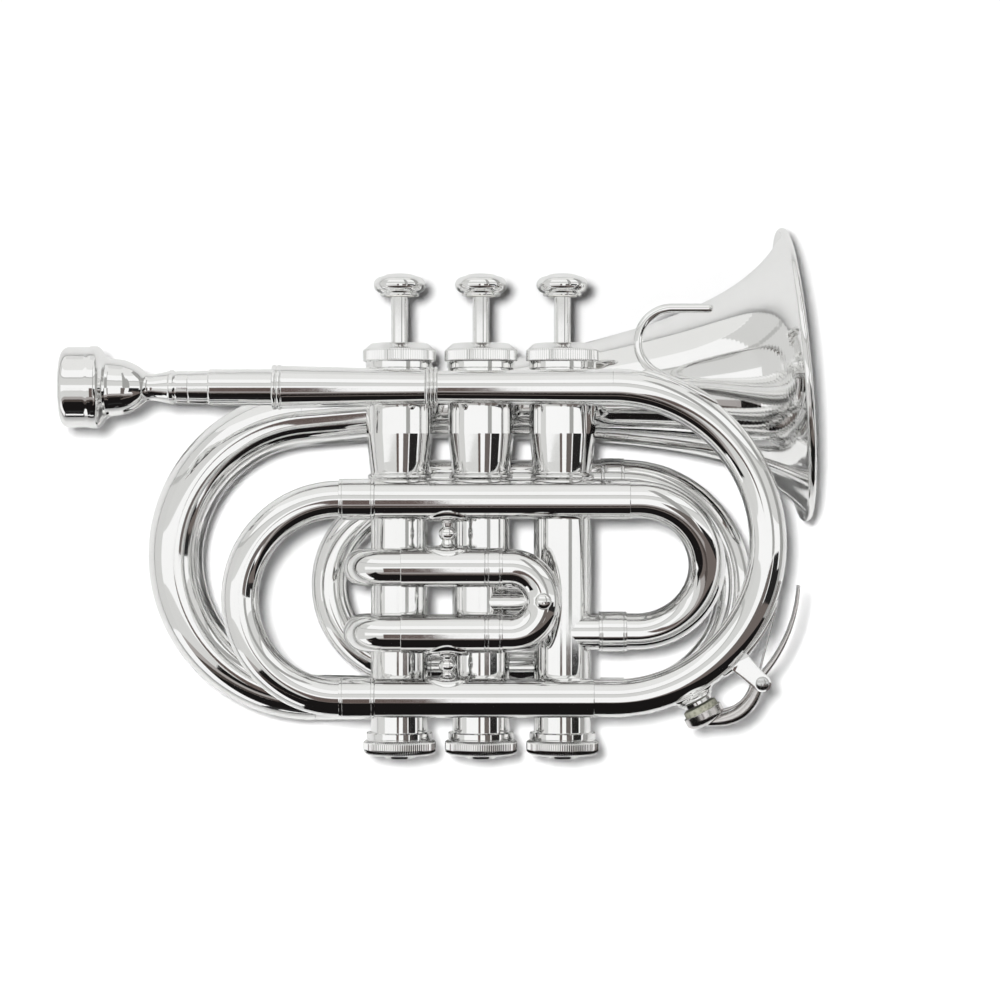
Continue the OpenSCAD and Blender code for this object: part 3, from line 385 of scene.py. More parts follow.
def lathe(profile, base, axis, sides=96, closed=True, teeth=0, depth=0.0):
    """Surface turned from (radius, height) points; a third value is the share of the knurl's depth there."""
    axis = axis / norm(axis)
    u, v = ring_axes(axis)
    sides = 6 * teeth or sides
    angle = arange(sides) * 2 * pi / sides
    wave = (np.abs((angle * teeth / (2 * pi)) % 1.0 - 0.5) * 4 - 1) * depth
    wave = np.clip(wave * 1.6, -depth, depth)
    ring = np.outer(np.cos(angle), u) + np.outer(np.sin(angle), v)
    verts, rings, faces = [], [], []
    for p in support_rings(profile, closed):
        centre = base + axis * p[1]
        start = len(verts)
        if p[0] < 1e-5:
            verts.append(centre)
        else:
            verts.extend(centre + ring * (p[0] + wave * (p[2] if len(p) > 2 else 0.0))[:, None])
        rings.append(range(start, len(verts)))
    for a, b in zip(rings, rings[1:] + (rings[:1] if closed else [])):
        for k in range(sides):
            n = (k + 1) % sides
            corners = dict.fromkeys((a[k % len(a)], b[k % len(b)], b[n % len(b)], a[n % len(a)]))
            if len(corners) > 2:
                faces.append(tuple(corners))
    return verts, faces


def arc(centre, radius, start, end, u, v, step=3.0):
    """Points of an arc in the plane of u and v, angles in degrees."""
    n = max(2, int(abs(end - start) / step) + 1)
    return [centre + radius * (cos(radians(a)) * u + sin(radians(a)) * v) for a in linspace(start, end, n)]


def line(p, q, n=2):
    return [p + (q - p) * t for t in linspace(0, 1, n)]


def route(*stretches):
    """One path out of several, without the points that they share."""
    out = []
    for p in (p for stretch in stretches for p in stretch):
        if not out or norm(p - out[-1]) > 1e-4:
            out.append(p)
    return out


def u_turn(centre, radius, leads, u, v=Z, step=3.0, n=3):
    """Half circle that bulges along u, from -v to v, with straight leads of the given lengths."""
    low, high = centre - radius * v, centre + radius * v
    bow = arc(centre, radius, -90, 90, u, v, step)
    return route(line(low - u * leads[0], low, n), bow, line(high, high - u * leads[1], n))


def grid_faces(rings, sides, closed=True):
    """Quads between rings of equally many points."""
    return [
        (i * sides + k, i * sides + (k + 1) % sides, (i + 1) * sides + (k + 1) % sides, (i + 1) * sides + k)
        for i in range(rings - 1)
        for k in range(sides if closed else sides - 1)
    ]


def end_rings(rings, sides):
    """First ring backwards and last ring, as end faces."""
    return tuple(range(sides - 1, -1, -1)), tuple(range((rings - 1) * sides, rings * sides))


def inside_cylinder(p, cylinder):
    return (p[0] - cylinder[0]) ** 2 + (p[1] - cylinder[1]) ** 2 < cylinder[2] ** 2


def column_cut(column, cylinder, from_end):
    """Position along a column, in ring steps, where it enters an upright cylinder near one of its ends."""
    n = len(column) - 1
    home = n if from_end else 0
    last = None
    for i in range(n, -1, -1) if from_end else range(n + 1):
        if inside_cylinder(column[i], cylinder):
            last = i
        elif last is not None:
            low, high = 0.0, 1.0
            for _ in range(24):
                mid = (low + high) / 2
                hit = inside_cylinder(column[i] + (column[last] - column[i]) * mid, cylinder)
                low, high = (low, mid) if hit else (mid, high)
            return i + (last - i) * high
        elif abs(i - home) > n * 0.6:
            break
    return home


def sweep(path, radius, sides=64, start_cut=None, end_cut=None):
    """Closed tube along a path; either end can be trimmed to a casing, given as (x, y, radius)."""
    path = np.array(path)
    n = len(path)
    radii = np.broadcast_to(radius, (n,))
    tangent = np.gradient(path, axis=0)
    tangent[0], tangent[-1] = path[1] - path[0], path[-1] - path[-2]
    tangent /= norm(tangent, axis=1)[:, None]
    u, _ = ring_axes(tangent[0])
    angle = arange(sides) * 2 * pi / sides
    grid = []
    for p, t, r in zip(path, tangent, radii):
        u = u - t * (u @ t)
        u /= norm(u)
        grid.append(p + np.outer(np.cos(angle), u) * r + np.outer(np.sin(angle), np.cross(t, u)) * r)
    grid = np.array(grid)
    if start_cut or end_cut:
        for k in range(sides):
            column = grid[:, k].copy()
            t0 = column_cut(column, start_cut, False) if start_cut else 0.0
            t1 = column_cut(column, end_cut, True) if end_cut else n - 1.0
            for j, t in enumerate(linspace(t0, t1, n)):
                i = min(int(t), n - 2)
                grid[j, k] = column[i] + (column[i + 1] - column[i]) * (t - i)
    verts, faces = list(grid.reshape(-1, 3)), grid_faces(n, sides)
    for ring, cut in zip(end_rings(n, sides), (start_cut, end_cut)):
        if not cut:
            faces.append(ring)
            continue
        middle = np.mean([verts[k] for k in ring], axis=0)
        away = vec(middle[0] - cut[0], middle[1] - cut[1], 0)
        verts.append(vec(cut[0], cut[1], middle[2]) + away * cut[2] / norm(away))
        faces.extend((a, b, len(verts) - 1) for a, b in zip(ring, ring[1:] + ring[:1]))
    return verts, faces


def strip(outline, y0, y1):
    """Prism of a side-view outline of (x, z) points between two depths."""
    n = len(outline)
    verts = [vec(p[0], y, p[1]) for y in (y0, y1) for p in outline]
    return verts, grid_faces(2, n) + [tuple(range(n)), tuple(range(2 * n - 1, n - 1, -1))]


def blade(path, half, depth, edge=2.6, sides=28):
    """Rounded bar along (x, z) points: half its width in the side view at each point, and half its depth."""
    path = np.array(path)
    along = np.gradient(path, axis=0)
    along /= norm(along, axis=1)[:, None]
    verts = []
    for p, t, h in zip(path, along, half):
        for k in range(sides):
            c, s = cos(2 * pi * k / sides), sin(2 * pi * k / sides)
            a, b = np.sign(c) * abs(c) ** (2 / edge) * h, np.sign(s) * abs(s) ** (2 / edge) * depth
            verts.append(vec(p[0] - t[1] * a, FRONT_Y + b, p[1] + t[0] * a))
    return verts, [*grid_faces(len(path), sides), *end_rings(len(path), sides)]


def merge(*parts):
    verts, faces = [], []
    for v, f in parts:
        start = len(verts)
        verts.extend(v)
        faces.extend(tuple(i + start for i in face) for face in f)
    return verts, faces


def round_edges(obj, width):
    bevel = obj.modifiers.new("edges", "BEVEL")
    bevel.width = width * MM
    bevel.segments = 3
    bevel.limit_method = "ANGLE"
    bevel.angle_limit = radians(40)
    with bpy.context.temp_override(object=obj, active_object=obj, selected_objects=[obj]):
        bpy.context.view_layer.objects.active = obj
        bpy.ops.object.modifier_apply(modifier=bevel.name)


def piece(name, mesh_data, *nodes, body="instrument", material=SILVER, bevel=0.0, sharp=38.0):
    """Object in the row frame that rides on a body and stands for its CAD nodes."""
    verts, faces = mesh_data
    mesh = bpy.data.meshes.new(name)
    mesh.from_pydata([tuple(p * MM) for p in verts], [], faces)
    work = bmesh.new()
    work.from_mesh(mesh)
    bmesh.ops.remove_doubles(work, verts=work.verts, dist=1e-7)
    bmesh.ops.dissolve_degenerate(work, dist=1e-7, edges=work.edges)
    bmesh.ops.recalc_face_normals(work, faces=work.faces)
    work.to_mesh(mesh)
    work.free()
    mesh.materials.append(material)
    obj = add_object(name, mesh)
    if bevel:
        round_edges(obj, bevel)
    obj.data.shade_smooth()
    obj.data.set_sharp_from_angle(angle=radians(sharp))
    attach(obj, body)
    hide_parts(*nodes)


def casing(i, inset=0.2):
    """Upright cylinder just under a casing's surface, which the tubes that meet it are trimmed to."""
    return (VALVE_X[i], 0.0, CASING_R - inset)


def pipe_between(p, q, outer, bore, lip=0.25, sides=72):
    """Open tube with softened ends."""
    length = norm(q - p)
    profile = fillet([(bore, 0), (outer, 0), (outer, length), (bore, length)], lip, 3, closed=True)
    return lathe(profile, p, q - p, sides)


def outer_tube(p, q, sides=72):
    return pipe_between(p, q, OUTER_R, OUTER_BORE_R, 0.2, sides)


def inner_leg(p, q):
    return pipe_between(p, q, INNER_R, BORE_R, 0.15)


def ferrule(p, q, outer=FERRULE_R, bore=FERRULE_BORE_R, sides=72):
    """Ferrule with a shallow groove near each end."""
    length = norm(q - p)
    e, g = 0.9, 0.22
    outside = [(outer, 0), (outer, e), (outer - g, e + 0.12), (outer, e + 0.24)]
    outside += [(outer, length - e - 0.24), (outer - g, length - e - 0.12)]
    outside += [(outer, length - e), (outer, length)]
    profile = fillet([(bore, 0), *outside, (bore, length)], 0.18, 2, closed=True)
    return lathe(profile, p, q - p, sides)


# ---- Valves ----


def valve_casing(i):
    r, bead, seat = CASING_R, BEAD_Z, CAP_SEAT_Z
    outside = [(CASING_BORE_R, CASING_FOOT_Z), (r, CASING_FOOT_Z), (r, bead - 1.1), (r + 1.0, bead - 0.7)]
    outside += [(r + 1.0, bead + 0.3), (r + 0.1, bead + 0.7), (r + 0.1, bead + 1.2)]
    cone = [(r + 0.15, bead + 1.5), (r + 0.5, bead + 4.5), (CHAMBER_R, CHAMBER_Z)]
    top = [(CHAMBER_R, seat - 0.2), (CHAMBER_R - 0.2, seat), (CHAMBER_R - 0.5, seat)]
    top += [(CHAMBER_R - 0.5, seat + 5), (CHAMBER_BORE_R, seat + 5), (CHAMBER_BORE_R, CHAMBER_Z)]
    inside = [(CASING_BORE_R + 0.6, bead + 1), (CASING_BORE_R, bead + 1)]
    profile = [*fillet(outside, 0.4, 3), *cone, *top, *inside]
    piece(f"casing_{i + 1}", lathe(profile, (VALVE_X[i], 0, 0), Z, 120), f"valve_casing_{i + 1}")


def top_cap(i):
    r = TOP_CAP_R
    profile = [(10.56, 0), (r - 1.0, 0), (r - 0.8, 0.2), (r - 0.8, 2.1), (r - 0.55, 2.4)]
    profile += [(r - 0.1, 2.5, 0.4), (r, 2.7, 1), (r, 5.9, 1), (r - 0.15, 6.25, 0.6), (r - 0.4, 6.45)]
    profile += [(r - 0.8, 6.75), (r - 2.2, 8.0), (r - 2.6, 8.3), (r - 3.2, 8.4), (6.4, 8.4), (6.1, 8.55)]
    profile += [(3.7, 8.6), (3.3, 8.3), (3.15, 7.6), (3.15, 5.4), (10.56, 5.4)]
    mesh = lathe(profile, (VALVE_X[i], 0, CAP_SEAT_Z + SEAM), Z, teeth=KNURL_TEETH, depth=TOP_KNURL_DEPTH)
    piece(f"top_cap_{i + 1}_dressed", mesh, f"top_cap_{i + 1}")


def bottom_cap(i):
    r = BOTTOM_CAP_R
    foot_r, dish_r = 5.45, r - 0.8
    foot = [(0, 0), (4.65, 0), (5.3, 0.95), (foot_r, 1.0)]
    turn = linspace(0.25, pi / 2, 9)
    dish = [(foot_r + (dish_r - foot_r) * sin(t), 1.05 + 0.45 * (1 - cos(t)) ** 1.5) for t in turn]
    knurl = [(r - 0.55, 1.6), (r - 0.3, 1.95, 0.6), (r - 0.1, 2.4, 1), (r, 3.1, 1)]
    knurl += [(r, 5.2, 1), (r - 0.15, 5.6, 1), (r - 0.5, 6.0, 0.4)]
    neck = [(r - 0.75, 6.1), (r - 1.0, 6.25), (r - 1.0, 6.5), (r - 0.75, 6.7), (r - 0.75, 8.4)]
    neck += [(r - 1.05, 8.75)]
    inside = [(9.6, 8.8), (9.56, 8.6), (9.56, 2.5), (7.9, 2.5), (7.9, 2.0), (4.2, 1.4), (0, 1.4)]
    profile = [*foot, *dish, *knurl, *neck, *inside]
    mesh = lathe(profile, (VALVE_X[i], 0, 0), Z, closed=False, teeth=KNURL_TEETH, depth=KNURL_DEPTH)
    piece(f"bottom_cap_{i + 1}_dressed", mesh, f"bottom_cap_{i + 1}")


def valve_stem(i):
    top = BUTTON_Z + BUTTON_SOCKET
    profile = [(0, STEM_FOOT_Z), (STEM_R, STEM_FOOT_Z), (STEM_R, top), (0, top)]
    mesh = lathe(profile, (VALVE_X[i], 0, 0), Z, 48, closed=False)
    piece(f"stem_{i + 1}", mesh, f"valve_stem_{i + 1}", body=f"valve_{i + 1}")


def felt_ring(i, outer, low, high, lip):
    bore = STEM_BORE_R
    profile = fillet([(bore, low), (outer, low), (outer, high), (bore, high)], lip, 3, closed=True)
    return lathe(profile, (VALVE_X[i], 0, 0), Z, 64)


def stem_felts(i):
    under_cap = felt_ring(i, 7.2, FELT_LOW_Z, FELT_HIGH_Z, 0.5)
    under_button = felt_ring(i, 4.9, BUTTON_Z - 0.2, BUTTON_Z + 0.65, 0.2)
    mesh = merge(under_cap, under_button)
    piece(f"felts_{i + 1}", mesh, f"stem_felts_{i + 1}", body=f"valve_{i + 1}", material=FELT)


def finger_button(i):
    r, bore, socket = BUTTON_R, STEM_BORE_R, BUTTON_SOCKET + 0.05
    profile = [(0, socket), (bore, socket), (bore, 0.72), (5.05, 0.72), (5.05, 0.1), (5.3, 0), (6.1, 0)]
    profile += [(6.35, 0.12), (6.45, 0.5), (6.3, 0.85)]
    profile += [(r - 2.9 + 2.9 * cos(t), 3.75 + 2.75 * sin(t)) for t in linspace(-1.25, 1.2, 20)]
    profile += [(5.4, 6.7), (4.4, 7.1), (3.2, 7.35), (1.6, 7.5), (0, 7.55)]
    mesh = lathe(profile, (VALVE_X[i], 0, BUTTON_Z), Z, closed=False)
    piece(f"button_{i + 1}", mesh, f"finger_button_{i + 1}", body=f"valve_{i + 1}")


def valve_links():
    y = LINK_Y
    parts = [
        sweep(line(vec(VALVE_X[a], y, z), vec(VALVE_X[b], y, z), 40), BOW_R, 64, casing(a), casing(b))
        for a, b, z in ((0, 1, FIRST_HIGH_Z), (1, 2, LINK_23_Z))
    ]
    path = line(vec(VALVE_X[2], y, CROSS_Z), vec(CROSS_FERRULE_X - SEAM, y, CROSS_Z), 30)
    piece("link_tubes", merge(*parts, sweep(path, BOW_R, start_cut=casing(2))), "valve_links")


# ---- Leadpipe ----


def mouthpiece():
    lip, length = 2.6, MOUTHPIECE_LEN
    r = RIM_FACE_R
    rim = [(r - lip + lip * sin(t), lip - lip * cos(t)) for t in linspace(-0.9, pi / 2, 12)]
    body = [(r, 8.4), (r + 0.05, 9.1), (r + 0.3, 9.7), (r + 0.35, 10.6), (r + 0.3, 11.8), (r - 0.15, 12.5)]
    body += [(r - 0.9, 13.2), (r - 2.5, 14.2), (r - 3.2, 15.0)]
    waist = [(r - 3.6, 16.0), (r - 3.9, 17.9), (r - 4.2, 20.3), (r - 4.8, 22.1), (r - 5.65, 24.0)]
    waist += [(r - 6.9, 25.9), (4.7, 27.7), (SHANK_R - 1.55, 30.0), (4.75, 32.8), (5.2, 34.6)]
    stem = [(5.3, 35.1), (5.6, 35.4), (5.65, 36.5), (5.3, 36.9), (5.1, 37.3), (5.25, 37.7), (5.3, 41.2)]
    stem += [(5.15, 41.5), (5.3, 41.8), (5.45, 47.7), (5.5, 47.95)]
    shank = [(SHANK_R - 0.1, 48.2), (SHANK_R, 48.5), (SHANK_R, length - SHANK_DEPTH), (5.35, length - 0.4)]
    bore = [(5.1, length), (4.4, length), (1.85, 26.0), (1.85, 13.5)]
    cup = [(8.2 * sin(t), 10.5 * cos(t)) for t in linspace(0.25, pi / 2 - 0.1, 12)]
    profile = [*rim, *body, *spline(waist), *stem, *shank, *bore, *cup]
    mesh = lathe(profile, (RECEIVER_X + SHANK_DEPTH - length, FRONT_Y, LEAD_Z), X, 112)
    piece("mouthpiece_dressed", mesh, "mouthpiece", body="mouthpiece")


def mouthpiece_receiver():
    length = RECEIVER_END_X - RECEIVER_X
    r = RECEIVER_R
    turn = linspace(0.15, pi - 0.15, 8)
    bead = [(r + 0.3 - 0.5 * (1 - sin(t)), c - 0.75 * cos(t)) for c in (0.8, 2.4) for t in turn]
    outside = [(SHANK_R + 0.1, 0), *bead, (r - 0.05, 3.3), (LEADPIPE_R + 0.45, length - 0.3)]
    inside = [(LEADPIPE_R + 0.2, length), (4.3, length), (4.3, 22), (5.4, 22)]
    profile = fillet([*outside, *inside], 0.15, 2, closed=True)
    piece("receiver", lathe(profile, (RECEIVER_X, FRONT_Y, LEAD_Z), X), "mouthpiece_receiver")


def leadpipe_collar():
    outer, ribs, arch = COLLAR_R, 3, 0.95
    profile = [(BORE_R, 0)]
    for k in range(ribs):
        centre = COLLAR_W * (k + 0.5) / ribs
        turn = linspace(-1.4, 1.4, 9)
        profile += [(outer - arch + arch * cos(t), centre + COLLAR_W / (2 * ribs) * sin(t)) for t in turn]
    profile += [(BORE_R, COLLAR_W)]
    piece("collar", lathe(profile, (RECEIVER_END_X + SEAM, FRONT_Y, LEAD_Z), X), "leadpipe_collar")


def leadpipe():
    start, bore = RECEIVER_END_X + SEAM, LEADPIPE_BORE_R
    length = FRONT_BOW_X - start
    profile = [(LEADPIPE_R, 0), (BOW_R, length), (BORE_R, length), (bore, 31.0 - start), (bore, 0)]
    piece("leadpipe_tube", lathe(profile, (start, FRONT_Y, LEAD_Z), X), "leadpipe")


def front_bow():
    low = vec(FRONT_BOW_X, FRONT_Y, LOWER_Z)
    bow = arc(vec(FRONT_BOW_X, FRONT_Y, FRONT_BOW_Z), FRONT_BOW_R, -90, 90, X, Z, 2.0)
    path = route(line(vec(LOWER_END_X + 0.02, FRONT_Y, LOWER_Z), low, 3), bow)
    piece("front_bow", sweep(path, BOW_R), "leadpipe_bow")


def outer_slides():
    for level, z, end_x in (("upper", UPPER_Z, UPPER_END_X), ("lower", LOWER_Z, LOWER_END_X)):
        mesh = outer_tube(vec(SLIDE_X, FRONT_Y, z), vec(end_x, FRONT_Y, z), 96)
        piece(f"{level}_outer_slide", mesh, f"{level}_slide_tube")


def crossover_bow():
    mid = vec(CROSS_X, (FRONT_Y + LINK_Y) / 2, (UPPER_Z + CROSS_Z) / 2)
    up = vec(0, (FRONT_Y - LINK_Y) / 2, (UPPER_Z - CROSS_Z) / 2)
    radius = norm(up)
    ferrule_end = CROSS_FERRULE_X + CROSS_FERRULE
    leads = (CROSS_X - ferrule_end, CROSS_X - UPPER_END_X - 0.02)
    bow = sweep(u_turn(mid, radius, leads, X, up / radius, 2.5), BOW_R)
    ring = ferrule(vec(CROSS_FERRULE_X, LINK_Y, CROSS_Z), vec(ferrule_end, LINK_Y, CROSS_Z), bore=BORE_R)
    piece("crossover_bow_tube", merge(bow, ring), "crossover_bow")


def main_slide():
    start, y = SLIDE_BOW_X, FRONT_Y
    crook = [sweep(arc(vec(start, y, SLIDE_BOW_Z), SLIDE_BOW_R, 90, 270, X, Z, 2.0), BOW_R)]
    legs = []
    for z in (LOWER_Z, UPPER_Z):
        crook.append(ferrule(vec(start, y, z), vec(SLIDE_X - SLIP, y, z), sides=96))
        legs.append(inner_leg(vec(start + 0.7, y, z), vec(SLIDE_X + SLIDE_LEG, y, z)))
    piece("tuning_slide_crook", merge(*crook), "main_slide_crook", body="main_slide")
    piece("tuning_slide_legs", merge(*legs), "main_slide_legs", body="main_slide")


# ---- Valve slides ----


def slide_pieces(name, fixed, crook, legs):
    """Outer tubes on the instrument, crook and inner legs on the slide's own body."""
    piece(f"{name}_outer", merge(*fixed), f"{name}_tubes")
    piece(f"{name}_bow", merge(*crook), f"{name}_crook", body=name)
    piece(f"{name}_inner", merge(*legs), f"{name}_legs", body=name)


def pull_knob(base, axis, r):
    profile = [(0, 0), (1.3, 0), (1.25, 0.9)]
    profile += [(r * cos(t), 2.4 + 1.8 * sin(t)) for t in linspace(-0.75, pi / 2 - 0.05, 14)]
    return lathe([*profile, (0, 4.22)], base, axis, 48, closed=False)


def first_slide():
    y, end = FRONT_Y, FIRST_END_X
    mid_z, bow_r = halves(FIRST_LOW_Z, FIRST_HIGH_Z)
    ferrule_end = end + VALVE_FERRULE
    bow_x = ferrule_end + FIRST_LEAD
    fixed, crook, legs = [], [], []
    for z in (FIRST_LOW_Z, FIRST_HIGH_Z):
        elbow = arc(vec(HOOK_X, y / 2, z), -y / 2, 270, 90, X, Y, 2.5)
        path = route(line(vec(FIRST_X + 0.02, y, z), vec(HOOK_X, y, z), 4), elbow)
        fixed.append(outer_tube(vec(FIRST_X, y, z), vec(end, y, z), 96))
        fixed.append(sweep(path, BOW_R, end_cut=casing(0)))
        crook.append(ferrule(vec(end + SLIP, y, z), vec(ferrule_end, y, z), OUTER_R, sides=96))
        legs.append(inner_leg(vec(FIRST_LEG_X, y, z), vec(ferrule_end - 0.1, y, z)))
    bow = sweep(u_turn(vec(bow_x, y, mid_z), bow_r, (FIRST_LEAD, FIRST_LEAD), X), BOW_R)
    knob = pull_knob(vec(bow_x + bow_r, y - BOW_R + 0.4, mid_z), -Y, 2.7)
    slide_pieces("first_slide", fixed, [*crook, bow, knob], legs)


def second_slide():
    mid_z, bow_r = halves(SECOND_LOW_Z, SECOND_HIGH_Z)
    end = SECOND_Y + VALVE_FERRULE
    bow_y = end + SECOND_LEAD
    fixed, crook, legs = [], [], []
    for z in (SECOND_LOW_Z, SECOND_HIGH_Z):
        fixed.append(sweep(line(vec(0, 0, z), vec(0, 12, z), 24), OUTER_R, start_cut=casing(1)))
        fixed.append(outer_tube(vec(0, SECOND_BORE_Y, z), vec(0, SECOND_Y, z)))
        crook.append(ferrule(vec(0, SECOND_Y + SLIP, z), vec(0, end, z)))
        legs.append(inner_leg(vec(0, SECOND_LEG_Y, z), vec(0, end - 0.1, z)))
    bow = sweep(u_turn(vec(0, bow_y, mid_z), bow_r, (SECOND_LEAD, SECOND_LEAD), Y, n=2), BOW_R)
    knob = pull_knob(vec(0, bow_y + bow_r + BOW_R - 0.4, mid_z), Y, 3.2)
    slide_pieces("second_slide", fixed, [*crook, bow, knob], legs)


def drop(x, y, r, top_z, port_z, end, n):
    """Path that bends down from a level run, to 0 or 180 degrees, drops and turns in to a casing's port."""
    return route(
        arc(vec(x - r * cos(radians(end)), y, top_z - r), r, 90, end, X, Z),
        line(vec(x, y, top_z - r), vec(x, y, port_z + r), 4),
        arc(vec(x, y - r, port_z + r), r, 0, -90, Y, Z),
        line(vec(x, y - r, port_z), vec(x, 0, port_z), n),
    )


def third_slide():
    x, y = VALVE_X[2], THIRD_Y
    r = y - CASING_R
    low_z, high_z, port_z = THIRD_LOW_Z, THIRD_HIGH_Z, THIRD_PORT_Z
    ferrule_x = THIRD_X - VALVE_FERRULE
    bow_x = ferrule_x - THIRD_LEAD
    fixed, crook, legs = [], [], []
    for z in (low_z, high_z):
        fixed.append(outer_tube(vec(THIRD_X, y, z), vec(x - r, y, z)))
        crook.append(ferrule(vec(ferrule_x, y, z), vec(THIRD_X - SLIP, y, z), OUTER_R))
        legs.append(inner_leg(vec(ferrule_x + 0.1, y, z), vec(x - r - 3, y, z)))
    low = route(
        line(vec(x - r - 0.5, y, low_z), vec(x - r, y, low_z)),
        arc(vec(x - r, y - r, low_z), r, 90, 0, X, Y),
        line(vec(x, y - r, low_z), vec(x, 0, low_z), 16),
    )
    level = line(vec(x - r - 0.5, y, high_z), vec(x - r, y, high_z))
    high = route(level, drop(x, y, r, high_z, port_z, 0, 16))
    fixed += [sweep(path, BOW_R, end_cut=casing(2)) for path in (low, high)]
    mid_z, bow_r = halves(low_z, high_z)
    bow = u_turn(vec(bow_x, y, mid_z), bow_r, (THIRD_LEAD, THIRD_LEAD), -X, -Z, 2.0, 2)
    slide_pieces("third_slide", fixed, [*crook, sweep(bow, BOW_R)], legs)


# ---- Bell section ----

BELL_AXIS = vec(cos(BELL_TILT), 0, sin(BELL_TILT))
BELL_UP = vec(-sin(BELL_TILT), 0, cos(BELL_TILT))
RIM = vec(RIM_X, BELL_Y, RIM_Z)
BELL_BOW_R = BELL_UP @ (RIM - vec(BELL_BOW_X, BELL_Y, BRANCH_Z)) / (1 + cos(BELL_TILT))
BELL_BOW_CENTRE = vec(BELL_BOW_X, BELL_Y, BRANCH_Z + BELL_BOW_R)
BELL_TAIL = BELL_BOW_CENTRE + BELL_BOW_R * BELL_UP
BELL_LEN = BELL_AXIS @ (RIM - BELL_TAIL)


def bell_radius(a):
    """Outer radius of the bell at a distance from its mouth."""
    return max(THROAT_R, (BELL_R + FLARE_OFFSET) * (1 + a / FLARE_LEN) ** -FLARE_POWER - FLARE_OFFSET)


def bell():
    w = RIM_WIRE_R
    along = [w + (BELL_LEN - w) * t ** 1.8 for t in linspace(0, 1, 90)]
    bead = [(BELL_R - w + w * cos(t), -w - w * sin(t)) for t in linspace(1.25, -2.3, 16)]
    outside = [(bell_radius(a), -a) for a in along[:1:-1]]
    inside = [(bell_radius(a) - BELL_WALL, -a + (0.3 if k == 0 else 0)) for k, a in enumerate(along)]
    piece("bell_flare", lathe([*outside, *bead, *inside], RIM, BELL_AXIS, 192), "bell", sharp=60)


def bell_bow():
    path = arc(BELL_BOW_CENTRE, BELL_BOW_R, 90 + degrees(BELL_TILT), 270, X, Z, 2.0)
    radii = THROAT_R - (THROAT_R - BRANCH_R) * linspace(0, 1, len(path)) ** 2.2
    piece("bell_bow_tube", sweep(path, radii, 72), "bell_bow")


def bell_branch():
    wide, e, wall = BRANCH_R, BRANCH_PIPE_R, 0.7
    length = BRANCH_BOW_X - 1 - SEAM - BELL_BOW_X
    outside = [(wide, 0), (e, length - BRANCH_FERRULE), (e, length)]
    profile = [*outside, *[(r - wall, h) for r, h in reversed(outside)]]
    piece("bell_branch_tube", lathe(profile, (BELL_BOW_X, BELL_Y, BRANCH_Z), X), "bell_branch")


def branch_bow():
    x, y, e = BRANCH_BOW_X, BELL_Y, BRANCH_PIPE_R
    mid_z, bow_r = halves(BRANCH_Z, BRANCH_PIPE_Z)
    parts = [sweep(arc(vec(x, y, mid_z), bow_r, -90, 90, X, Z, 2.0), e)]
    for z in (BRANCH_Z, BRANCH_PIPE_Z):
        parts.append(ferrule(vec(x - BRANCH_FERRULE, y, z), vec(x, y, z), BRANCH_FERRULE_R, e + 0.05))
    piece("branch_bow_tube", merge(*parts), "branch_bow")


def branch_pipe():
    x, y, r = VALVE_X[0], BELL_Y, BRANCH_BEND_R
    top_z, port_z = BRANCH_PIPE_Z, BRANCH_PORT_Z
    level = line(vec(BRANCH_BOW_X - 1 - SEAM, y, top_z), vec(x + r, y, top_z), 6)
    path = route(level, drop(x, y, r, top_z, port_z, 180, 30))
    piece("branch_pipe_tube", sweep(path, BRANCH_PIPE_R, end_cut=casing(0)), "branch_pipe")


# ---- Fittings ----


def saddle_on_tube(x, z, side, plate=0.8, rings=10, sides=64):
    """Oval flange wrapped over a level front tube; side is +1 over it and -1 under it."""
    verts = []
    for shell in (0, 1):
        for share in arange(rings + 1) / rings:
            r = OUTER_R + (plate * (0.5 if share > 0.93 else 1.0) if shell else 0.02)
            for k in range(sides):
                a = 2 * pi * k / sides
                turn = max(-1.0, min(1.0, FOOT_R * share * sin(a) / (OUTER_R + plate)))
                drop = r * sqrt(1 - turn * turn)
                verts.append(vec(x + FOOT_W * share * cos(a), FRONT_Y + r * turn, z + side * drop))
    ring, edge = (rings + 1) * sides, rings * sides
    faces = grid_faces(rings + 1, sides)
    faces += [tuple(j + ring for j in face) for face in faces]
    for k in range(sides):
        a, b = edge + k, edge + (k + 1) % sides
        faces.append((a, b, ring + b, ring + a))
    return verts, faces


def brace(z_low, z_high, x):
    """Turned post with a ball between two wrapped feet."""
    mid, half = halves(z_low, z_high)
    side = [(0, -half), (3.4, -half), (3.0, -half + 0.4), (2.1, -half + 0.9), (1.9, -half * 0.62)]
    ball = [(2.9 * cos(t), 2.6 * sin(t)) for t in linspace(-0.95, 0.95, 15)]
    profile = [*side, *ball, *[(r, -h) for r, h in reversed(side)]]
    return lathe(profile, (x, FRONT_Y, mid), Z, 48, closed=False)


def slide_braces():
    x, gap = BRACE_X, 0.3
    parts = []
    for low, high in ((FIRST_HIGH_Z, UPPER_Z), (LOWER_Z, FIRST_LOW_Z)):
        parts.append(brace(low + OUTER_R + gap, high - OUTER_R - gap, x))
        parts += [saddle_on_tube(x, low, 1), saddle_on_tube(x, high, -1)]
    for z in (LOWER_Z, UPPER_Z):
        for i in (0, 2):
            front, back = vec(VALVE_X[i], FRONT_Y + OUTER_R - 0.5, z), vec(VALVE_X[i], -CASING_R + 0.4, z)
            parts.append(sweep(line(front, back, 4), STAY_R, 40))
    piece("braces", merge(*parts), "slide_braces")


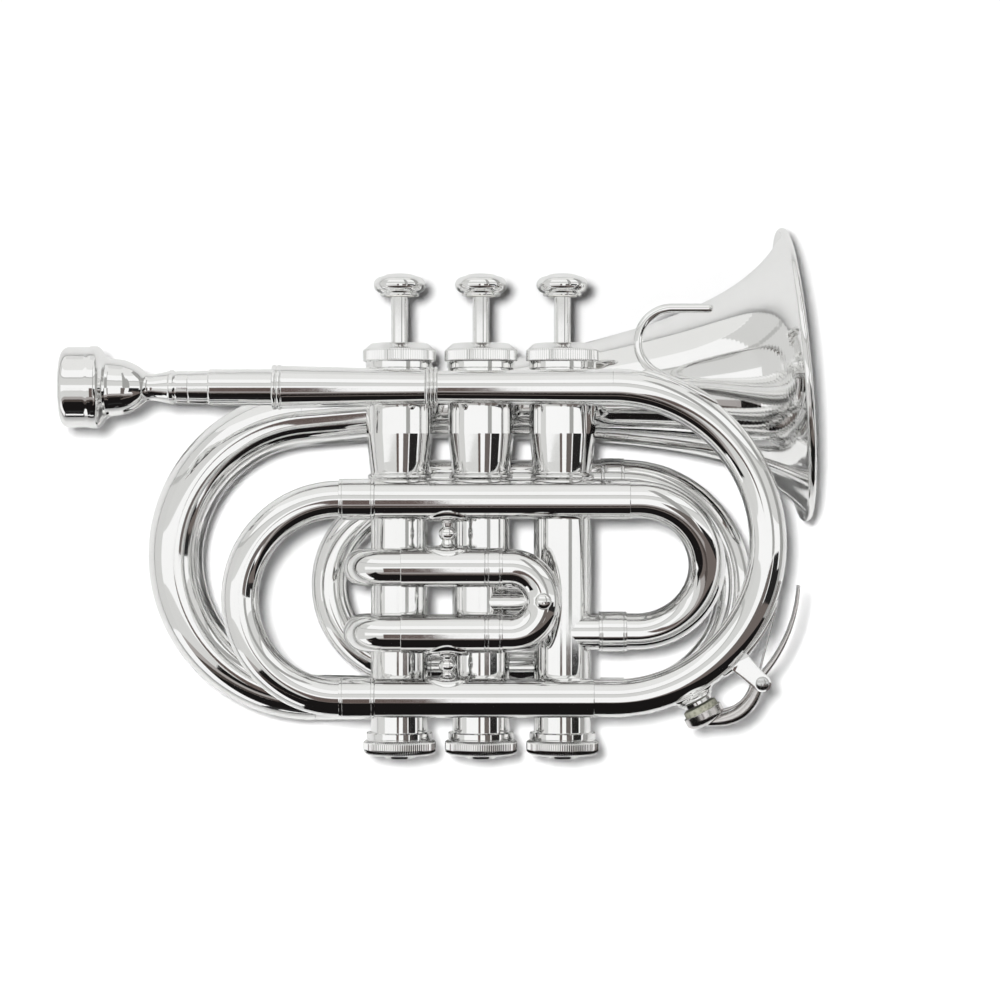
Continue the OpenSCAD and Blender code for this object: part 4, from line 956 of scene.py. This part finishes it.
def bell_brace():
    x, neck = FRONT_BOW_X - 1, 2.0
    front = FRONT_Y + BOW_R
    length = BELL_Y - bell_radius((RIM_X - x) / cos(BELL_TILT)) - front
    mid = length / 2
    profile = [(0, -2.6), (4.6, -2.6), (4.6, 0.2), (4.2, 0.9), (2.4, 1.5), (neck, 2.6), (neck, mid - 3)]
    turn = linspace(-0.8, 0.8, 11)
    profile += [(2.9 * cos(t) if abs(t) < 0.8 else neck, mid + 2.8 * sin(t)) for t in turn]
    profile += [(neck, mid + 3), (neck, length - 2.6), (2.6, length - 1.6), (4.8, length - 0.8)]
    profile += [(5.0, length), (5.0, length + 2.0), (0, length + 2.0)]
    piece("bell_stay", lathe(profile, (x, front, LEAD_Z), Y, 64, closed=False), "bell_brace")


def on_front_bow(r, angle, y=FRONT_Y):
    a = radians(angle)
    return vec(FRONT_BOW_X + r * cos(a), y, FRONT_BOW_Z + r * sin(a))


def bow_saddle(start, end, spread, plate=0.9, taper=None, sides=24, rings=24):
    """Plate wrapped over the outside of the front bow between two angles; taper narrows it along its way."""
    verts = []
    for shell in (0, 1):
        for t in arange(rings + 1) / rings:
            wide = spread * (taper(t) if taper else 1.0)
            for k in range(sides + 1):
                b = radians(-wide + 2 * wide * k / sides)
                edge = min(1.0, 6 * min(k / sides, 1 - k / sides), 8 * min(t, 1 - t))
                r = BOW_R + 0.03 + (plate * (0.35 + 0.65 * sqrt(max(edge, 0.0))) if shell else 0.0)
                angle = start + (end - start) * t
                verts.append(on_front_bow(FRONT_BOW_R + r * cos(b), angle, FRONT_Y + r * sin(b)))
    row = sides + 1
    sheet = (rings + 1) * row
    faces = grid_faces(rings + 1, row, closed=False)
    faces += [tuple(j + sheet for j in face) for face in faces]
    border = [*range(row), *[i * row + sides for i in range(1, rings + 1)]]
    border += [rings * row + k for k in range(sides - 1, -1, -1)] + [i * row for i in range(rings - 1, 0, -1)]
    faces += [(a, b, b + sheet, a + sheet) for a, b in zip(border, border[1:] + border[:1])]
    return verts, faces


def finger_hook():
    centre, r, wire = vec(62.4, FRONT_Y, 137.0), 11.1, 1.5
    bend = arc(centre, r, 240, 90, X, Z)
    foot = bend[0] + vec(-sin(radians(240)), 0, cos(radians(240))) * 5.2
    top = centre + vec(0, 0, r)
    tip = top + vec(12.0, 0, 0)
    turn = linspace(0.3, pi / 2, 6)
    end = [tip + vec(1.45 * sin(t), 0, 0) for t in turn]
    path = route(line(foot, bend[0], 5), bend, line(top, tip, 6), end)
    radii = [wire] * (len(path) - len(end)) + [wire * cos(t) + 0.02 for t in turn]
    leaf = bow_saddle(53, 80, 40, taper=lambda t: sin(pi * min(1.0, 0.12 + 0.76 * t)) ** 0.7)
    piece("hook", merge(sweep(path, radii, 32), leaf), "finger_hook")


# ---- Water key ----


def radial(angle):
    a = radians(angle)
    return vec(cos(a), 0, sin(a))


PIVOT_OUT = 15.9
PIVOT_ANGLE = -43.3
PIVOT_R = FRONT_BOW_R + PIVOT_OUT
PIVOT = on_front_bow(PIVOT_R, PIVOT_ANGLE)
PIVOT_AWAY, PIVOT_ALONG = radial(PIVOT_ANGLE), radial(PIVOT_ANGLE + 90)
SEAT_ANGLE = -62.0
SEAT_OUT = BOW_R + 3.0
SEAT = on_front_bow(FRONT_BOW_R, SEAT_ANGLE)
SEAT_AWAY = radial(SEAT_ANGLE)
EAR_HALF = 2.9
EAR_DEPTHS = (3.3, 4.7)
LEVER_R = PIVOT_R - 0.6
SLEEVE_R = 2.7
CUP_R = 6.6
CUP_LOW = SEAT_OUT + 2.3
CUP_TOP = SEAT_OUT + 7.2
WIRE_R = 0.36
COIL_R = 1.8
COIL_H = 2.6


def water_key_seat():
    """Drilled seat and its foot, the wrapped tongue and the two ears."""
    turned = [(1.8, 5.0), (3.4, 5.0), (4.4, 6.2), (5.7, 6.5), (5.9, 7.0), (5.6, 7.4), (4.9, 7.6)]
    turned += [(4.9, SEAT_OUT - 0.3), (4.6, SEAT_OUT), (2.1, SEAT_OUT), (1.8, SEAT_OUT - 0.3)]
    foot = bow_saddle(SEAT_ANGLE - 6.5, SEAT_ANGLE + 6.5, 34)
    tongue_end = PIVOT_ANGLE + 24
    tongue = bow_saddle(PIVOT_ANGLE - 7, tongue_end, 30, taper=lambda t: 1.0 - 0.75 * max(0.0, t - 0.4) / 0.6)
    parts = [lathe(turned, SEAT, SEAT_AWAY, 64), foot, tongue]
    root = on_front_bow(FRONT_BOW_R, PIVOT_ANGLE)
    flare = [(5.4 + (PIVOT_OUT - 5.4) * t, EAR_HALF + 0.7 * (1 - t) ** 2) for t in linspace(0, 1, 9)]
    ear = [root + PIVOT_AWAY * a - PIVOT_ALONG * b for a, b in flare]
    for t in linspace(0.2, pi - 0.2, 18):
        ear.append(PIVOT + EAR_HALF * (cos(t) * -PIVOT_ALONG + sin(t) * PIVOT_AWAY))
    ear += [root + PIVOT_AWAY * a + PIVOT_ALONG * b for a, b in reversed(flare)]
    for side in (-1, 1):
        inner, outer = (side * depth + FRONT_Y for depth in EAR_DEPTHS)
        parts.append(strip([(p[0], p[2]) for p in ear], inner, outer))
    piece("water_key_seat", merge(*parts), "water_key_saddle", bevel=0.18)


def water_key_screw():
    pin = [(0, -5.5), (0.8, -5.5), (1.0, -5.3), (1.0, 4.75), (2.2, 4.75)]
    head = [(2.25 * cos(t), 5.0 + 1.2 * sin(t)) for t in linspace(0, pi / 2 - 0.05, 9)]
    mesh = lathe([*pin, *head, (0, 6.2)], PIVOT, -Y, 40, closed=False)
    piece("water_key_screw", mesh, "water_key_pivot", material=STEEL)


def sleeve(low, high):
    profile = [(1.05, low), (SLEEVE_R, low), (SLEEVE_R, high), (1.05, high)]
    return lathe(fillet(profile, 0.2, 3, closed=True), PIVOT, Y, 56)


def water_key_cup():
    low, top, wall = CUP_LOW, CUP_TOP, 2.2
    cup = [(5.8, low), (6.4, low), (CUP_R, low + 0.25), (CUP_R, low + wall)]
    turn = linspace(0.12, pi / 2 - 0.06, 14)
    cup += [(CUP_R * cos(t), low + wall + (top - low - wall) * sin(t)) for t in turn]
    return lathe([*cup, (0, top), (0, top - 1.2), (5.8, low + 3.0)], SEAT, SEAT_AWAY, 64)


def water_key_arm():
    """Curved arm with a rib below it, thumb leaf, two sleeves on the pivot and the cup."""
    share = arange(25) / 24

    def bar(inset, bulge, start, reach):
        points = (on_front_bow(LEVER_R - inset + bulge(t), start + reach * t) for t in share)
        return [(p[0], p[2]) for p in points]

    reach = SEAT_ANGLE - PIVOT_ANGLE
    arm = bar(0.0, lambda t: 3.3 * sin(pi * t), PIVOT_ANGLE, reach)
    rib = bar(2.2, lambda t: 2.9 * sin(pi * t), PIVOT_ANGLE, reach + 2)
    leaf = bar(0.9, lambda t: -2.9 * t ** 2, PIVOT_ANGLE + 1, 29.4)
    lever = merge(
        blade(arm, [1.5 + 0.65 * sin(pi * t) for t in share], 2.5),
        blade(rib, [0.45 + 0.5 * (2 * t - 1) ** 2 for t in share], 1.4),
        blade(leaf, [1.05 - 0.6 * t for t in share], 3.0, 3.4),
        sleeve(-3, -1.4),
        sleeve(1.4, 3),
        water_key_cup(),
    )
    piece("water_key_arm", lever, "water_key_lever", body="water_key", material=CAST, bevel=0.25)


def water_key_pad():
    r, low, high = 5.75, SEAT_OUT + 0.3, CUP_LOW + 2.4
    pad = fillet([(0, low), (r, low), (r, high), (0, high)], 0.5, 4)
    mesh = lathe(pad, SEAT, SEAT_AWAY, 56, closed=False)
    piece("water_key_pad", mesh, "water_key_cork", body="water_key", material=CORK)


def water_key_wire():
    """Coil on the pivot, and one leg from it down to the bow."""
    coil, full = [], 4 * pi
    for t in linspace(0, full, 72):
        rise = -COIL_H / 2 + WIRE_R + (COIL_H - 2 * WIRE_R) * t / full
        coil.append(PIVOT + COIL_R * (cos(t) * PIVOT_AWAY + sin(t) * PIVOT_ALONG) + Y * rise)
    tip = on_front_bow(FRONT_BOW_R + BOW_R + 0.7, PIVOT_ANGLE + 20, FRONT_Y - 0.9)
    leg = line(PIVOT - PIVOT_AWAY * COIL_R - Y * 0.9, tip, 8)
    mesh = merge(sweep(coil, WIRE_R, 12), sweep(leg, WIRE_R, 12))
    piece("water_key_wire", mesh, "water_key_spring", material=STEEL)


# ---- Studio ----

# Metres from here on, in the same frame
VIEW_PLACE = (0.0063, -1.0, 0.08555)
VIEW_TARGET = (0.0063, 0.0, 0.0855)
VIEW_WIDTH = 0.3316
SENSOR = 36.0
KEY_PLACE = (-0.0235, -1.0, 0.1115)
KEY_POWER = 11.2
KEY_SIZE = 0.048
WORLD_LIGHT = 0.02
PAPER = (0.97, 0.97, 0.97)
# Painted shade: the paper's grey tone where reflections see it, darker than the paper itself
PAPER_PAINTED_SHADE = (0.70, 0.70, 0.695)
# Painted shadow: the paper's near-black tone in reflections seen after a matt bounce, which keeps the drop
# shadow deep
PAPER_PAINTED_SHADOW = (0.02, 0.02, 0.02)
WALL_HALF = 0.9
WALL_Y = 0.088
FLOOR_HALF = 6.0
FLOOR_Z = -0.12
FLOOR_GLOW = 0.6
SPHERE_CENTRE = vec(0, 0, 0.075)
TABLE_Z = -0.03


def stage_mesh(name, verts, material, faces=None):
    mesh = bpy.data.meshes.new(name)
    mesh.from_pydata(verts, [], faces or [tuple(range(len(verts)))])
    mesh.materials.append(material)
    obj = add_object(name, mesh)
    return obj


def show(tree, output):
    tree.links.new(output, tree.nodes["Material Output"].inputs["Surface"])


def reflected(name, verts, colour, faces=None):
    """Glowing surface that only reflections see."""
    material, tree, shader = new_material(name)
    tree.nodes.remove(shader)
    show(tree, add_node(tree, "Emission", Color=(*colour, 1), Strength=1.0).outputs[0])
    obj = stage_mesh(name, verts, material, faces)
    for ray in ("camera", "diffuse", "shadow", "transmission"):
        setattr(obj, f"visible_{ray}", False)


def card(name, azimuth, elevation, colour, radius=2.6, cols=16, rows=12):
    """Patch of a large sphere round the object; azimuth runs from the camera's side to +X."""
    verts = []
    for e in linspace(radians(elevation[0]), radians(elevation[1]), rows + 1):
        for a in linspace(radians(azimuth[0]), radians(azimuth[1]), cols + 1):
            verts.append(tuple(SPHERE_CENTRE + radius * vec(sin(a) * cos(e), -cos(a) * cos(e), sin(e))))
    reflected(name, verts, colour, grid_faces(rows + 1, cols + 1, closed=False))


def table(name, outline, colour):
    """Level patch close under the object, from its outline in the XY plane."""
    reflected(name, [(x, y, TABLE_Z) for x, y in outline], colour)


def paper(name, glow):
    """White paper with painted shade: a dimmer grey in reflections, and painted shadow that makes it nearly
    black in those off matt surfaces so the drop shadow stays deep; clear from behind.
    """
    material, tree, shader = new_material(name)
    rays = new_node(tree, "LightPath").outputs
    # Painted shadow mask: reflections reached after a matt bounce see the paper nearly black, other
    # reflections see its painted shade
    painted_shadow_mask = chain(tree, "Math", rays["Diffuse Depth"], 0.5, operation="GREATER_THAN")
    mirror = mix_colour(tree, painted_shadow_mask, PAPER_PAINTED_SHADE, PAPER_PAINTED_SHADOW)
    tone = mix_colour(tree, rays["Is Glossy Ray"], PAPER, mirror)
    set_inputs(tree, shader, Base_Color=tone, Roughness=0.9, Specular_IOR_Level=0.0)
    emit = add_node(tree, "Emission", Color=(1, 1, 1, 1), Strength=glow)
    lit = chain(tree, "AddShader", shader.outputs[0], emit.outputs[0])
    seen = chain(tree, "MixShader", rays["Is Camera Ray"], shader.outputs[0], lit)
    behind = new_node(tree, "NewGeometry").outputs["Backfacing"]
    clear = new_node(tree, "BsdfTransparent").outputs[0]
    show(tree, chain(tree, "MixShader", behind, seen, clear))
    return material


def wall():
    """Upright sheet just behind the bell, which catches the soft drop shadow."""
    w, y = WALL_HALF, WALL_Y
    corners = [(-w, y, -w), (w, y, -w), (w, y, w), (-w, y, w)]
    stage_mesh("backdrop", corners, paper("backdrop_paper", 0.0))


def floor():
    w, z = FLOOR_HALF, FLOOR_Z
    corners = [(-w, -w, z), (w, -w, z), (w, w, z), (-w, w, z)]
    stage_mesh("floor", corners, paper("floor_paper", FLOOR_GLOW)).visible_glossy = False


def world():
    """White where the camera or a mirror looks, with almost no light of its own on matt surfaces."""
    scene_world = bpy.data.worlds.new("studio")
    bpy.context.scene.world = scene_world
    scene_world.use_nodes = True
    tree = scene_world.node_tree
    tree.nodes.clear()
    rays = new_node(tree, "LightPath").outputs
    seen = chain(tree, "Math", rays["Is Camera Ray"], rays["Is Glossy Ray"], operation="MAXIMUM")
    seen = chain(tree, "Math", seen, rays["Is Transmission Ray"], operation="MAXIMUM")
    direct = chain(tree, "Math", rays["Diffuse Depth"], 0.5, operation="LESS_THAN")
    bright = chain(tree, "Math", seen, direct, operation="MULTIPLY")
    glows = [
        add_node(tree, "Background", Color=(1, 1, 1, 1), Strength=strength).outputs[0]
        for strength in (WORLD_LIGHT, 1.0)
    ]
    mix = chain(tree, "MixShader", bright, *glows)
    add_node(tree, "OutputWorld", Surface=mix)


def key_lamp():
    """Round lamp beside the camera, which reflections don't see."""
    data = bpy.data.lights.new("key", "AREA")
    data.shape = "DISK"
    data.energy = KEY_POWER
    data.size = KEY_SIZE
    obj = add_object("key", data)
    obj.location = KEY_PLACE
    obj.rotation_euler = (Vector(VIEW_TARGET) - Vector(KEY_PLACE)).to_track_quat("-Z", "Y").to_euler()
    obj.visible_glossy = False


def camera():
    data = bpy.data.cameras.new("camera")
    data.sensor_width = SENSOR
    data.lens = SENSOR / VIEW_WIDTH
    obj = add_object("camera", data)
    obj.location = VIEW_PLACE
    obj.rotation_euler = (pi / 2, 0, 0)
    bpy.context.scene.camera = obj


def dress_hidden():
    """Materials for the CAD solids inside the valves, which have no pieces of their own."""
    kept = {"piston": LAPPED, "valve_spring": STEEL, "valve_guide": NYLON}
    for node_name, node in frame["nodes"].items():
        for key, material in kept.items():
            if node_name.startswith(key):
                node.data.materials.clear()
                node.data.materials.append(material)


for index in range(3):
    for build in (valve_casing, top_cap, bottom_cap, valve_stem, stem_felts, finger_button):
        build(index)
REST = [valve_links, mouthpiece, mouthpiece_receiver, leadpipe_collar, leadpipe, front_bow, outer_slides]
REST += [crossover_bow, main_slide, first_slide, second_slide, third_slide, bell, bell_bow, bell_branch]
REST += [branch_bow, branch_pipe, slide_braces, bell_brace, finger_hook]
REST += [water_key_seat, water_key_screw, water_key_arm, water_key_pad, water_key_wire, dress_hidden]
for build in REST:
    build()

# What the plating mirrors: name, azimuths and elevations in degrees, colour, distance if not 2.6
CARDS = [
    ("floor_front", (-62, 122), (-90, -42), (0.01, 0.009, 0.009)),
    ("floor_edge", (-62, 75), (-42, -35), (0.08, 0.066, 0.06)),
    ("floor_warm", (-62, 75), (-35, -27), (0.4, 0.375, 0.365)),
    ("low_right", (68, 82), (-21, -9), (0.02, 0.019, 0.019), 2.5),
    ("floor_right", (72, 122), (-42, -21), (0.01, 0.009, 0.009), 2.55),
    ("floor_streak", (-180, 180), (-74, -69), (0.03, 0.03, 0.03), 2.55),
    ("floor_back", (105, 270), (-90, -68), (0.01, 0.01, 0.01)),
    ("low_grey", (-75, -8), (-27, -10), (0.7, 0.7, 0.69)),
    ("brown", (-10, -1.5), (-28, -3.5), (0.13, 0.1, 0.092), 2.5),
    ("dark_right", (14, 33), (-28, -3.5), (0.15, 0.13, 0.122), 2.5),
    ("black_right", (37, 68), (-21, -3.5), (0.02, 0.019, 0.019), 2.5),
    ("band_grey", (-180, 180), (5, 23), (0.7, 0.7, 0.69)),
    ("band_seam", (-180, 180), (23, 26), (0.5, 0.5, 0.49), 2.55),
    ("upright_grey", (24, 38), (-3, 60), (0.38, 0.38, 0.37), 2.5),
    ("high_grey", (-180, 180), (47, 78), (0.84, 0.84, 0.83)),
    ("zenith", (-180, 180), (78, 90), (0.74, 0.74, 0.73)),
    ("left_grey", (-112, -60), (-27, 47), (0.68, 0.68, 0.67), 2.55),
    ("right_grey", (75, 112), (-27, 60), (0.36, 0.36, 0.35), 2.55),
]
for card_name, *patch in CARDS:
    card(f"card_{card_name}", *patch)
dark_edge = [(-0.075, -0.125), (0.07, -0.115), (0.145, -0.105), (0.20, -0.085), (0.25, -0.06)]
dark_sides = [(0.25, 0.065), (0.10, 0.0), (-0.075, 0.0), (-0.075, -0.08)]
table("dark_table", [(-0.14, -0.08), (-0.14, -0.20), *dark_edge, *dark_sides], (0.010, 0.009, 0.009))
warm_edge = [(0.30, -0.06), (0.30, -0.35), (0.22, -0.35), (0.145, -0.20), (0.07, -0.135), (-0.075, -0.140)]
table("warm_table", [*dark_edge, *warm_edge], (0.16, 0.135, 0.125))
wall()
floor()
world()
key_lamp()
camera()

bpy.context.scene.view_settings.view_transform = "Standard"
